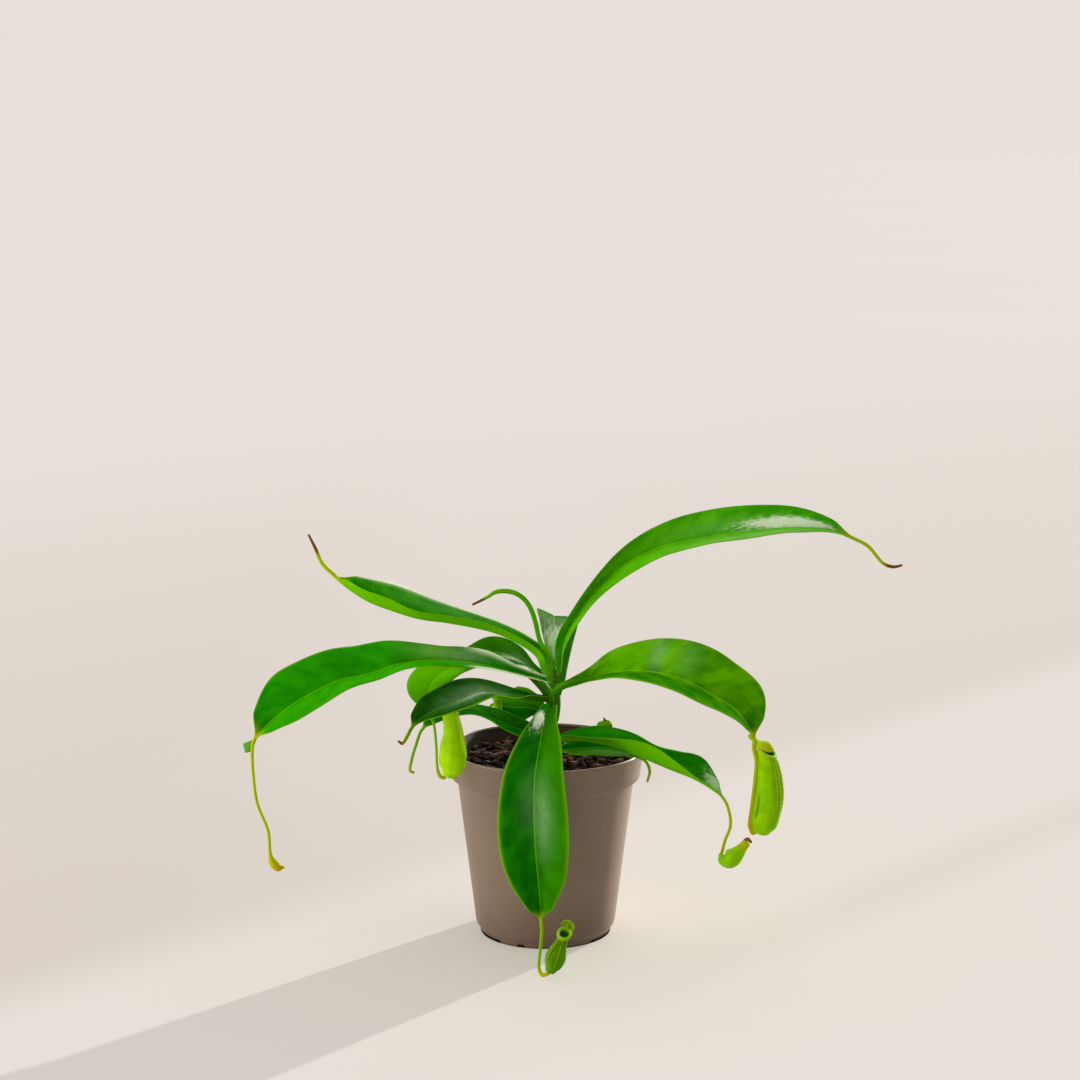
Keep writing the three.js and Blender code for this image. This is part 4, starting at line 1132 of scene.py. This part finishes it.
def make_pot():
    profile, inner_count = pot_profile()
    turns = [(math.radians(turn), slot_lift(turn)) for turn in pot_turns()]
    rings = []
    for r, z in profile[1:-1]:
        cut = r > POT["channel_radius"] - 1.5 and z < POT["foot_band"]
        rings.append([(r * math.cos(a), r * math.sin(a), max(z, lift) if cut else z) for a, lift in turns])
    # The profile's last points lie on the inner wall and floor
    inside = [float(k > len(rings) - inner_count) for k in range(len(rings))]
    shell = Shell()
    shell.loft(rings, foot=(0, 0, 0), tip=(0, 0, POT["floor_top"]), inside=inside)
    pot = shell.make("nursery_pot", pot_material())
    cutter = drain_hole_cutter()
    holes = pot.modifiers.new("drain_holes", "BOOLEAN")
    holes.object, holes.operation, holes.solver = cutter, "DIFFERENCE", "EXACT"
    apply_modifiers(pot)
    bpy.data.objects.remove(cutter)
    return dress("pot", pot)


def apply_modifiers(piece):
    graph = bpy.context.evaluated_depsgraph_get()
    graph.update()
    made = bpy.data.meshes.new_from_object(piece.evaluated_get(graph))
    piece.modifiers.clear()
    piece.data = made


def drain_hole_cutter():
    shell = Shell()
    for k in range(DRAIN_HOLES["count"]):
        turn = 2 * math.pi * (k + 0.5) / DRAIN_HOLES["count"]
        centre = DRAIN_HOLES["ring"] * math.cos(turn), DRAIN_HOLES["ring"] * math.sin(turn)
        shell.loft([level_circle(DRAIN_HOLES["radius"], height, 32, centre) for height in (-4, 8)])
    return shell.make("drain_hole_cutter", None)


# Soil

def make_soil():
    chance = random.Random(SOIL["seed"])
    shell = Shell()
    soil_body(shell, chance)
    for _ in range(SOIL["chips"]):
        reach = (SOIL["edge_radius"] - SOIL["clear_of_wall"]) * math.sqrt(chance.random())
        turn = 2 * math.pi * chance.random()
        if reach < SOIL["clear_of_stem"]:
            continue
        size = [chance.uniform(*span) for span in SOIL["chip_sizes"]]
        height = SOIL["top"] + chance.uniform(*SOIL["chip_lift"])
        bark_chip(shell, chance, np.array([reach * math.cos(turn), reach * math.sin(turn), height]), size)
    return dress("soil", shell.make("potting_soil", soil_material()))


def soil_body(shell, chance):
    """The packed soil, with a lumpy top. The stem stands in it."""
    sides, count, grit = SOIL["sides"], SOIL["top_rings"], SOIL["grit"]
    rings = [level_circle(radius, height, sides) for radius, height in SOIL["flank"]]
    # Each wave's pace, direction, shift and height
    spans = ((0.05, 0.5), (0, 6.3), (0, 6.3), (0.25, 0.7))
    waves = [[chance.uniform(*span) for span in spans] for _ in range(SOIL["waves"])]
    for k in range(count, 0, -1):
        ring = level_circle(SOIL["edge_radius"] * k / (count + 0.4), SOIL["top"], sides)
        for p in ring:
            p[2] += 0.5 * sum(
                high * math.sin(pace * (p[0] * math.cos(way) + p[1] * math.sin(way)) + shift)
                for pace, way, shift, high in waves
            )
            p[2] += chance.uniform(-grit, grit) - (1.0 if k == count else 0)
        rings.append(ring)
    shell.loft(rings)


def bark_chip(shell, chance, centre, size):
    """An angular flake: a box with its corners knocked about and its ends pinched."""
    turn = Matrix.Identity(3)
    for axis, low, high in BARK_CHIP["turns"]:
        turn = turn @ Matrix.Rotation(chance.uniform(low, high), 3, axis)
    rings = []
    for x in BARK_CHIP["lengthwise"]:
        pinch = BARK_CHIP["end_pinch"] if abs(x) == 0.5 else 1
        reaches = (size[0], size[1] * pinch, size[2] * pinch)
        ring = []
        for y, z in BARK_CHIP["cut"]:
            spot = [
                reach * (share + chance.uniform(-knock, knock))
                for reach, share, knock in zip(reaches, (x, y, z), BARK_CHIP["knocks"])
            ]
            ring.append(np.array(turn @ Vector(spot)) + centre)
        rings.append(ring)
    shell.loft(rings, chip=1.0, tone=chance.random() ** 3.5)


# Stem

def make_stem():
    """The short stem, ringed with the scars that its leaves' feet wrap."""
    stations = stations_along(STEM_ROWS, 14)
    radii = fourth(STEM_ROWS)
    rings, scars = [], []
    for station in stations:
        near = min(abs(station.centre[2] - z) for z in SCARS["heights"])
        swell = SCARS["swell"] * math.exp(-(near / SCARS["swell_reach"]) ** 2)
        rings.append(round_ring(station, eased(radii, station.t) + swell, 40, ribbed(5)))
        scars.append(SCARS["darkness"] * math.exp(-(near / SCARS["dark_reach"]) ** 2))
    end = round_end(rings[-1], stations[-1].centre, stations[-1].along, 1.2)
    shell = Shell()
    shell.loft(rings + end, scar=scars + [0] * len(end))
    for spec in SHEATHS:
        clasping_foot(shell, spec)
    return dress("stem", shell.make("short_stem", stem_material()))


def clasping_foot(shell, spec):
    """The foot of a leaf's stalk: a thin channel that wraps the stem and widens upwards."""
    halves = fourth(spec["rows"])
    turns = np.linspace(-CLASP["wrap"], CLASP["wrap"], CLASP["points"])
    angles = np.radians(turns)
    rings = []
    for station in stations_along(spec["rows"], 8, spec["out"]):
        half = eased(halves, station.t)
        outer = [
            station.centre + station.top * half * math.sin(a) + station.side * half * 0.8 * (math.cos(a) - 1)
            for a in angles
        ]
        rings.append(np.array(outer + [p - station.side * CLASP["thickness"] for p in reversed(outer)]))
    edge = np.interp(np.abs(turns), [CLASP["edge_from"], CLASP["edge_to"]], [0, 1])
    edges = np.tile(np.concatenate([edge, edge[::-1]]), len(rings))
    shell.loft(rings, sheath=1.0, dark=spec["dark"], edge=edges)


# Leaves

def blade_shares():
    """Shares across the blade, closer together near the midrib."""
    even = np.linspace(-1, 1, BLADE["across"])
    return np.sign(even) * np.abs(even) ** 1.5


def leaf_ring(station, leaf, tables):
    """Points and marks of one ring: left edge, over the top, right edge, back below."""
    blade_end = len(leaf["blade"]) - 1
    t = min(station.t, blade_end)
    half = max(eased(tables["half"], t), 1)
    fullness = half / leaf["widest"]
    # 1 on the blade, easing to 0 where it closes into the round tendril
    flat = 1 - smooth_step(station.t, blade_end - 0.9, blade_end)
    radius = eased(tables["radius"], max(station.t - blade_end, 0))
    fold = math.radians(leaf["fold"] + BLADE["gutter"] * (1 - min(fullness, 1)) ** 2)
    roll = math.radians(eased(tables["roll"], t))
    side = station.side * math.cos(roll) + station.top * math.sin(roll)
    top = station.top * math.cos(roll) - station.side * math.sin(roll)

    shares = blade_shares()
    off_rib = np.abs(shares)
    slim = 1 - (1 - leaf.get("slim_foot", 1)) * (1 - smooth_step(t, 1.2, 3.4))
    across_mm = half * shares * np.where(shares < 0, slim, 1)
    sideways = across_mm * math.cos(fold)
    rise = half * ((np.sqrt(shares**2 + 0.0009) - 0.03) * math.sin(fold) - BLADE["bulge"] * shares**2)
    swing = np.sin(station.run / BLADE["ripple_length"] + 1.3 * np.sign(shares) + tables["phase"])
    ripple = tables["wave"] * fullness * flat * off_rib**1.6 * swing
    slant = (station.run - 0.55 * np.abs(across_mm)) * 0.66
    pleat = BLADE["pleat"] * flat * np.sin(slant + tables["phase"]) * np.sin(np.pi * off_rib)
    lift = rise + ripple + pleat
    rib = BLADE["rib_tip"] + (BLADE["rib_foot"] - BLADE["rib_tip"]) * (1 - t / blade_end) ** 2
    groove = BLADE["groove"] * np.exp(-((across_mm / BLADE["groove_reach"]) ** 2)) * flat
    keel = rib * np.exp(-((across_mm / (0.75 + 0.35 * rib)) ** 2))
    thick = BLADE["thickness"] + (BLADE["edge_thickness"] - BLADE["thickness"]) * off_rib**3
    over_lift, under_lift = lift - groove, lift - thick - keel

    def placed(sideways_flat, up_flat, angle):
        x = -radius * np.cos(angle) * (1 - flat) + sideways_flat * flat
        y = radius * np.sin(angle) * (1 - flat) + up_flat * flat
        return station.centre + np.outer(x, side) + np.outer(y, top)

    def edge(i, outside, angle):
        """The blade's rounded edge, a little outside its first or last point."""
        return placed(sideways[[i]] + outside, (over_lift[[i]] + under_lift[[i]]) / 2, np.array([angle]))

    count = len(shares)
    turns = math.pi * (0.03 + 0.94 * np.linspace(0, 1, count))
    over = placed(sideways, over_lift, turns)
    under = placed(sideways[::-1], under_lift[::-1], math.pi + turns)
    bulb = BLADE["edge_bulb"]
    points = np.vstack([edge(0, -bulb, 0), over, edge(-1, bulb, math.pi), under])
    share_round = np.concatenate([[-1], shares, [1], shares[::-1]])
    place = np.stack([share_round * half, np.full(len(points), station.run), share_round], 1)
    under_mark = np.concatenate([[0.5], np.zeros(count), [0.5], np.ones(count)])
    return points, place, under_mark, 1 - flat


def make_leaf(leaf, chance):
    looks = LEAF_LOOKS[leaf["name"]]
    tendril_radii = fourth(leaf["tendril"])
    tables = {
        "half": fourth(leaf["blade"]),
        "roll": [row[4] for row in leaf["blade"]],
        "radius": [min(leaf["blade"][-1][3], tendril_radii[0]), *tendril_radii],
        "wave": chance.uniform(0.3, 0.6),
        "phase": chance.uniform(0, 6),
    }
    stations = stations_along(leaf["blade"] + leaf["tendril"], BLADE["steps_per_span"])
    first, last = stations[0], stations[-1]
    blade_end = len(leaf["blade"]) - 1
    tendril_rows = len(stations) / BLADE["steps_per_span"] - blade_end
    rings, rings_marks = [], []
    for station in stations:
        points, place, under, on_tendril = leaf_ring(station, leaf, tables)
        dried = 0
        if "dried" in looks:
            dried = 1 - smooth_step(last.run - station.run, looks["dried"] * 0.6, looks["dried"])
        rings.append(points)
        rings_marks.append({
            "place": place, "under": under, "tendril": on_tendril, "dried": dried,
            "ripe": smooth_step(station.t - blade_end, tendril_rows * 0.4, tendril_rows),
            **leaf_patches(looks, station.t, place[:, 2], under),
        })
    # The foot reaches back to the stem, and the tip is closed in a dome
    end = round_end(rings[-1], last.centre, last.along, tables["radius"][-1] * 0.9)
    rings = [rings[0] - first.along * BLADE["seat"], *rings, *end]
    rings_marks = [rings_marks[0], *rings_marks, *[rings_marks[-1]] * len(end)]
    size = len(rings[0])
    marks = {}
    for key in rings_marks[0]:
        held = [ring[key] for ring in rings_marks]
        marks[key] = np.concatenate([value if np.ndim(value) else np.full(size, value) for value in held])
    shell = Shell()
    shell.loft(rings, **marks)
    if leaf["name"] == "leaf_left":
        dried_flap(shell, LEFT_LEAF_FLAP)
    return dress(leaf["name"], shell.make("dressed_" + leaf["name"], LEAF_FINISHES[looks["tone"]]))


def leaf_patches(looks, t, shares, under):
    """Painted highlight, painted sheen, edges, lime with painted light, and painted shade share of one ring's
    points, each from 0 to 1.
    """
    highlights, haze, shade, light = (
        patches(looks.get(key, ()), t, shares) for key in ("highlights", "haze", "shade", "light")
    )
    left, right = (np.clip(sign * shares / 0.3, 0, 1) for sign in (-1, 1))
    left_lean, right_lean = looks.get("halves", (0, 0))
    # Painted light and shade: halves lightens one half towards lime or darkens it, and the light patches
    # paint limier spots
    leaning = left * left_lean + right * right_lean + light
    if "fresh" in looks:
        leaning = leaning + smooth_step(t, *looks["fresh"])
    return {
        "gloss": np.clip(highlights, 0, 1) * (1 - under),
        "haze": np.clip(haze, 0, 1) * (1 - under),
        # the pale edge is a painted highlight along the blade's edge
        "pale_edge": edge_band(looks.get("pale_edges"), t, shares, looks.get("pale_reach", 0.13)),
        "lime_edge": edge_band(looks.get("lime_edges"), t, shares, 0.12),
        "fresh": np.clip(leaning, 0, 1),
        # painted shade: the shade patches and the halves turned towards deep green
        "sombre": np.clip(np.maximum(shade, -leaning), 0, 1),
    }


def patches(specs, t, shares):
    """Sum of soft round patches: row along, share across, their reaches and strength."""
    total = np.zeros(len(shares))
    for row, across, row_reach, across_reach, strength in specs:
        off_row, off_share = (t - row) / row_reach, (shares - across) / across_reach
        total += strength * np.exp(-(off_row**2) - off_share**2)
    return total


def edge_band(rows, t, shares, reach):
    """How far each point lies in a band along the blade's edge, over a range of rows."""
    if not rows:
        return np.zeros(len(shares))
    which, low, high = rows
    along = between(t, low - 0.5, low + 0.3, high - 1.0, high)
    band = np.clip((np.abs(shares) - 1 + reach) / (reach * 0.9), 0, 1)
    return band * along * (1 if which == 0 else (shares * which > 0))


def dried_flap(shell, corners):
    """A thin bent flap between four corners, given round its edge."""
    shares, thick = np.linspace(0, 1, 9), 0.35
    a, b, c, d = (np.array(corner, float) for corner in corners)
    normal = np.cross(b - a, d - a)
    normal /= np.linalg.norm(normal)
    rings = []
    for u in shares:
        over = []
        for w in shares:
            spot = (a * (1 - w) + b * w) * (1 - u) + (d * (1 - w) + c * w) * u
            over.append(spot + normal * (0.7 * math.sin(math.pi * w) + 0.3 * math.sin(math.pi * u)))
        rings.append(over + [p - normal * thick for p in reversed(over)])
    # The flap is paled by its underside colour and a little painted sheen
    shell.loft(rings, place=(2.0, 3.0, 0.4), under=0.6, haze=0.25, dried=0.08)


def rolled_shape(wind):
    """The outline of a leaf rolled up, whose outer edge shows as a line at the turn wind."""
    whole = 2 * math.pi

    def shape(angle):
        away = (angle - wind) % whole
        return 0.93 + 0.09 * away / whole - 0.1 * math.exp(-(min(away, whole - away) / 0.22) ** 2)
    return shape


def make_shoot(shoot):
    """A young leaf still rolled up, with the line of its outer edge winding round it."""
    sides = 28
    stations = stations_along(shoot["rows"], 12)
    radii = fourth(shoot["rows"])
    last = stations[-1]
    rings, dried = [], []
    for station in stations:
        knob = 1 + shoot["knobs"] * math.sin(station.run * 1.15) * smooth_step(station.t, 2, 4)
        radius = eased(radii, station.t) * knob
        rings.append(round_ring(station, radius, sides, rolled_shape(station.run * 0.05)))
        dried.append(1 - smooth_step(last.run - station.run, shoot["dried"] / 2, shoot["dried"]))
    end = round_end(rings[-1], last.centre, last.along, radii[-1])
    rings += end
    runs = [station.run for station in stations] + [last.run] * len(end)
    place = [(3.0 * math.sin(a), run, 0.4 * math.sin(a)) for run in runs for a in circle_angles(sides)]
    count = len(rings)
    ripe = [shoot["ripe"] * smooth_step(k, count * 0.5, count * 0.8) for k in range(count)]
    shell = Shell()
    shell.loft(rings, place=place, dried=dried + [1.0] * len(end), under=0.35, tendril=ripe)
    if "tuft" in shoot:
        cane(shell, shoot["tuft"], 10, dried=1.0)
    return dress(shoot["name"], shell.make("rolled_" + shoot["name"], LEAF_FINISHES["sunlit"]))


# Pitchers

def pitcher_wall(shell, spec, stations, radii):
    """Outer wall up to the rolled lip, then the inner wall down to the rounded foot."""
    sides, end, slope = PITCHER["sides"], len(spec["body"]) - 1, spec["mouth_slope"]
    flare, lip, wall, dome = (PITCHER[key] for key in ("lip_flare", "lip_height", "wall", "foot_dome"))
    angles = np.array(circle_angles(sides))
    cos, sin = np.cos(angles), np.sin(angles)

    def ring(station, radius, lift, slant, dent=0.0):
        reach = radius * (1 + 0.012 * np.cos(9 * angles + 1.0)) - dent
        rise = lift - slant * cos * radius
        return (station.centre + np.outer(reach * cos, station.side) + np.outer(reach * sin, station.top)
                + np.outer(rise, station.along))

    def slant_at(t):
        return slope * mouth_share(t, end)

    def off_turn(turn):
        """Each point's turn away from this one, in radians from -pi to pi."""
        return (angles - turn + math.pi) % (2 * math.pi) - math.pi

    def dent_at(t):
        depth = np.zeros(sides)
        for turn, low, high, deep in spec.get("grooves", ()):
            here = deep * between(t, low, low + 0.6, high - 0.6, high)
            depth += here * np.exp(-((off_turn(math.radians(turn)) / 0.11) ** 2))
        return depth

    rings = []
    marks = {"inside": [], "rim": [], "shade": [], "warm": []}

    def take(points, **given):
        rings.append(points)
        for key, held in marks.items():
            held.append(np.broadcast_to(given.get(key, 0.0), sides))

    first, mouth = stations[0], stations[-1]
    for k in range(4, 0, -1):
        turn = math.pi / 2 * k / 4.3
        take(ring(first, radii[0] * math.cos(turn), -radii[0] * dome * math.sin(turn), 0))
    wings_low, wings_high = spec["wings"]["from"], spec["wings"]["to"]
    between_wings = np.exp(-((off_turn(0) / 0.42) ** 4))
    for station in stations:
        t = station.t
        dent = dent_at(t)
        by_wings = 0.45 * between(t, wings_low - 0.5, wings_low + 0.5, wings_high - 0.3, wings_high)
        shade = between_wings * by_wings + np.minimum(dent * 1.3, 0.8)
        warm = 0.35 * smooth_step(t, end - 0.7, end)
        take(ring(station, eased(radii, t), 0, slant_at(t), dent), shade=shade, warm=warm)
    comb = PITCHER["lip_comb"] * np.cos(PITCHER["lip_teeth"] * angles)
    for out, up in LIP_ROLL:
        reach = radii[-1] + (flare if out > 0 else wall) * out
        take(ring(mouth, reach, lip * up, slope, comb), rim=0.8)
    take(ring(mouth, radii[-1] - wall, 0.3, slope), rim=0.5)
    lowest = PITCHER["steps_per_span"] // 2
    for station in reversed(stations[lowest:-1]):
        take(ring(station, eased(radii, station.t) - wall, -0.4, slant_at(station.t)), inside=1.0)
    floor = stations[lowest]
    bottom = eased(radii, floor.t) - wall
    for k in range(1, 4):
        turn = math.pi / 2 * k / 3.4
        dip = 0.4 + PITCHER["floor_dip"] * math.sin(turn)
        take(ring(floor, bottom * math.cos(turn), -dip, 0), inside=1.0)
    shell.loft(
        rings, foot=first.centre - first.along * radii[0] * dome, tip=floor.centre - floor.along * 2.0,
        **{key: np.concatenate(held) for key, held in marks.items()},
    )


def mouth_share(t, end):
    """Share of the mouth's slope that the rings have taken on, t rows up a body of end spans."""
    return float(np.interp(t, [end - 2, end - 1, end], [0, 0.35, 1]))


def pitcher_lid(shell, spec, mouth, radius):
    """Oval lid, domed, with a shallow keel, hinged at the back of the mouth."""
    lid, sides = spec["lid"], 40
    length, width, dome, thick = lid["length"], lid["width"], lid["dome"], lid["thick"]
    front = np.array(spec["front"], float) / np.linalg.norm(spec["front"])
    angle = math.radians(lid["rise"])
    hinge_reach = radius + 0.2
    hinge = mouth.centre - mouth.side * hinge_reach + mouth.along * (spec["mouth_slope"] * hinge_reach + 0.9)
    reach = front * math.cos(angle) + np.array([0, 0, math.sin(angle)])
    across = np.cross([0, 0, 1], front)
    up = np.cross(reach, across)
    middle = hinge + reach * (length / 2 - 0.6 - lid["sink"])

    def layer(share, lift):
        ring = []
        for a in circle_angles(sides):
            x = share * length / 2 * math.cos(a)
            y = share * width / 2 * math.sin(a) * (1 - 0.16 * math.cos(a))
            crown = dome * (1 - share**2) + 0.18 * math.exp(-((y / 0.5) ** 2)) * share
            ring.append(middle + reach * x + across * y + up * (crown + lift))
        return ring

    shares = (0.2, 0.45, 0.7, 0.88, 0.97)
    rings = [layer(share, -thick) for share in shares]
    rings += [layer(1.0, -thick * 0.6), layer(1.0, -thick * 0.3)]
    rings += [layer(share, 0) for share in reversed(shares)]
    warmth = [0.4] * 5 + [1.3, 1.3] + [1.0, 0.6, 0.5, 0.5, 0.5]
    shell.loft(rings, warm=[share * lid["warm"] for share in warmth], rim=0.2)
    neck = ((-1.3, -1.1, 1.1), (0, -0.35, 1.0), (1.4, -0.1, 0.7))
    cane(shell, [[*(hinge + reach * out + up * high), thick] for out, high, thick in neck], 14, warm=0.2)


def pitcher_wings(shell, spec, stations, radii, chance):
    """Two thin wings down the front, each with a fringe of fine hairs."""
    low, high, height = spec["wings"]["from"], spec["wings"]["to"] - 0.15, spec["wings"]["height"]
    count, thick, end = PITCHER["wing_steps"], PITCHER["wing_thickness"], len(spec["body"]) - 1
    for turn in (-PITCHER["wing_turn"], PITCHER["wing_turn"]):
        rings = []
        for k in range(count + 1):
            t = low + (high - low) * k / count
            i, w = span_at(len(stations), t * PITCHER["steps_per_span"])
            a, b = stations[i], stations[i + 1]
            centre, side, top, along = (
                getattr(a, key) * (1 - w) + getattr(b, key) * w for key in ("centre", "side", "top", "along")
            )
            radius = eased(radii, t)
            out = side * math.cos(turn) + top * math.sin(turn)
            flank = top * math.cos(turn) - side * math.sin(turn)
            drop = spec["mouth_slope"] * mouth_share(t, end) * radius * math.cos(turn)
            foot = centre - along * drop + out * (radius - 0.4)
            fade = math.sin(math.pi * (k + 0.6) / (count + 1.2))
            tall = 0.5 + height * 0.62 * fade * (1 + 0.16 * math.sin(k * 2.1))
            rings.append([
                foot + out * tall * up + flank * thick * off
                for up, off in ((0, -1), (0.6, -0.7), (1, 0), (0.6, 0.7), (0, 1))
            ])
            if k % 2 and 1 < k < count - 1:
                length = height * chance.uniform(0.55, 1.0) * fade + 0.25
                lean = chance.uniform(-0.5, 0.5)
                root = foot + out * (tall - 0.25)
                tip = root + (out + along * lean + flank * chance.uniform(-0.25, 0.25)) * length
                hair(shell, root, tip, along, flank)
        shell.loft(rings, warm=0.3, shade=0.2)


def hair(shell, root, tip, along, flank):
    radius = PITCHER["hair_radius"]
    ring = [root + along * radius * math.cos(a) + flank * radius * math.sin(a) for a in circle_angles(4)]
    middle = root * 0.45 + tip * 0.55
    upper = [middle + (p - root) * 0.6 for p in ring]
    shell.loft([ring, upper], tip=tip, warm=0.5, dried=0.15)


def dress_pitcher(shell, spec):
    piece = shell.make("grown_" + spec["name"], PITCHER_FINISHES[spec["finish"]])
    return dress(spec["name"], piece)


def make_open_pitcher(spec, chance):
    shell = Shell()
    stations = stations_along(spec["body"], PITCHER["steps_per_span"], spec["front"])
    radii = fourth(spec["body"])
    pitcher_wall(shell, spec, stations, radii)
    pitcher_lid(shell, spec, stations[-1], radii[-1])
    pitcher_wings(shell, spec, stations, radii, chance)
    if "spur" in spec:
        cane(shell, spec["spur"], 16, warm=0.25)
    return dress_pitcher(shell, spec)


def make_closed_pitcher(spec):
    shell = Shell()
    stations = stations_along(spec["body"], PITCHER["steps_per_span"])
    radii = fourth(spec["body"])
    rings = [round_ring(s, eased(radii, s.t), 32, ribbed(7)) for s in stations]
    rings = round_both_ends(rings, stations, radii[0], radii[-1] * 0.5)
    count = len(rings)
    shell.loft(rings, warm=[spec["warm"] * smooth_step(k, count * 0.62, count * 0.85) for k in range(count)])
    cane(shell, spec["lid"], 20, warm=spec["warm"], dried=spec["dried"])
    return dress_pitcher(shell, spec)


# Stage: flat pale floor, camera and lights

def make_stage():
    """A flat pale floor that runs on as far as the eye reaches, on every side."""
    reach, sides = 60.0 / MM, 96
    shell = Shell()
    rim = level_circle(reach, 0, sides)
    shell.add([(0, 0, 0), *rim], [(0, 1 + q, 1 + (q + 1) % sides) for q in range(sides)])
    floor = shell.make("pale_floor", stage_material())
    shade_under_pot(sides)
    return floor


def shade_under_pot(sides):
    """Painted shadow: a dark flat ring just above the floor, where the gap between the floor and the pot's
    foot ring lies in shade.
    """
    wide, narrow = POT["foot_radius"] + 0.3, POT["pad_radius"] + 1
    points = level_circle(wide, 0.06, sides) + level_circle(narrow, 0.06, sides)
    shell = Shell()
    shell.add(points, [(q, (q + 1) % sides, sides + (q + 1) % sides, sides + q) for q in range(sides)])
    shade = new_material("shade", Base_Color=PAINT["pot_gap_shade"], Roughness=1.0)[0]
    return shell.make("shade_under_pot", shade)


def make_camera():
    """The camera that the photograph was taken with."""
    lens = bpy.data.cameras.new("camera")
    lens.sensor_width, lens.lens = CAMERA["sensor"], CAMERA["lens"]
    lens.clip_start, lens.clip_end = 0.05, 60
    camera = bpy.data.objects.new("camera", lens)
    camera.location = CAMERA["place"]
    camera.rotation_euler = (math.radians(90 - CAMERA["tilt_down"]), 0, 0)
    bpy.context.scene.collection.objects.link(camera)
    bpy.context.scene.camera = camera


def add_light(name, kind, place, target, power, size):
    """A warm white light. A sun's size is its angle in degrees, a softbox's its two sides in metres."""
    data = bpy.data.lights.new(name, kind)
    if kind == "AREA":
        data.shape = "RECTANGLE"
        data.size, data.size_y = size
    else:
        data.angle = math.radians(size)
    data.energy, data.color = power, WARM_WHITE
    light = bpy.data.objects.new(name, data)
    light.location = place
    light.visible_camera = False
    light.rotation_euler = (Vector(target) - light.location).to_track_quat("-Z", "Y").to_euler()
    bpy.context.scene.collection.objects.link(light)
    return light


def add_sun(name, place, size):
    return add_light(name, "SUN", place, (0, 0, 0), SUNLIGHT[name], size)


def light_only(light, *pieces, stopped_by=None):
    """The light falls on these pieces alone, and where stopped_by is given only those pieces stop it."""
    light.light_linking.receiver_collection = gathered(light.name + "_falls_on", pieces)
    if stopped_by:
        light.light_linking.blocker_collection = gathered(light.name + "_stopped_by", stopped_by)


def gathered(name, pieces):
    chosen = bpy.data.collections.new(name)
    for piece in pieces:
        chosen.objects.link(piece)
    return chosen


def make_lights(floor, plant):
    pot = plant[0]
    light_only(add_sun("low_sun", SUN_DIRECTION, 0.8), floor, *plant[1:], stopped_by=[pot])
    light_only(add_sun("pot_rim_sun", SUN_DIRECTION, 4), pot, stopped_by=[pot])
    light_only(add_sun("floor_fill", (0, 0, 2), 20), floor, stopped_by=[floor])
    for name, place, sides, power in SOFTBOXES:
        box = add_light(name, "AREA", place, PLANT_MIDDLE, power, sides)
        stops = None
        if name == "left_softbox":
            stops = [piece for piece in plant if piece.name != "grown_pitcher_left"]
        light_only(box, *plant, stopped_by=stops)


def make_sky():
    """A soft warm sky, which the camera sees as the colour of the far paper."""
    world = bpy.data.worlds.new("studio")
    bpy.context.scene.world = world
    world.use_nodes = True
    tree = world.node_tree
    sky = tree.nodes["Background"]
    feed(tree, sky.inputs["Color"], SKY["colour"])
    feed(tree, sky.inputs["Strength"], SKY["strength"])
    backdrop = node(tree, "ShaderNodeBackground", {"Color": SKY["seen_as"], "Strength": 1.0})
    seen = node(tree, "ShaderNodeLightPath").outputs["Is Camera Ray"]
    chosen = node(tree, "ShaderNodeMixShader", {0: seen, 1: sky, 2: backdrop})
    feed(tree, tree.nodes["World Output"].inputs["Surface"], chosen)


def set_view():
    scene = bpy.context.scene
    scene.view_settings.view_transform = "Standard"
    scene.cycles.use_denoising = True


make_camera()
set_view()

LEAF_FINISHES = {tone: leaf_material(tone) for tone in LEAF_TONES}
PITCHER_FINISHES = {tone: pitcher_material(tone) for tone in PITCHER_TONES}

plant = [make_pot(), make_soil(), make_stem()]
leaf_chance = random.Random(7)
plant += [make_leaf(leaf, leaf_chance) for leaf in LEAVES]
plant += [make_shoot(shoot) for shoot in SHOOTS]
hair_chance = random.Random(19)
plant += [make_open_pitcher(spec, hair_chance) for spec in OPEN_PITCHERS]
plant += [make_closed_pitcher(spec) for spec in CLOSED_PITCHERS]
make_lights(make_stage(), plant)
make_sky()
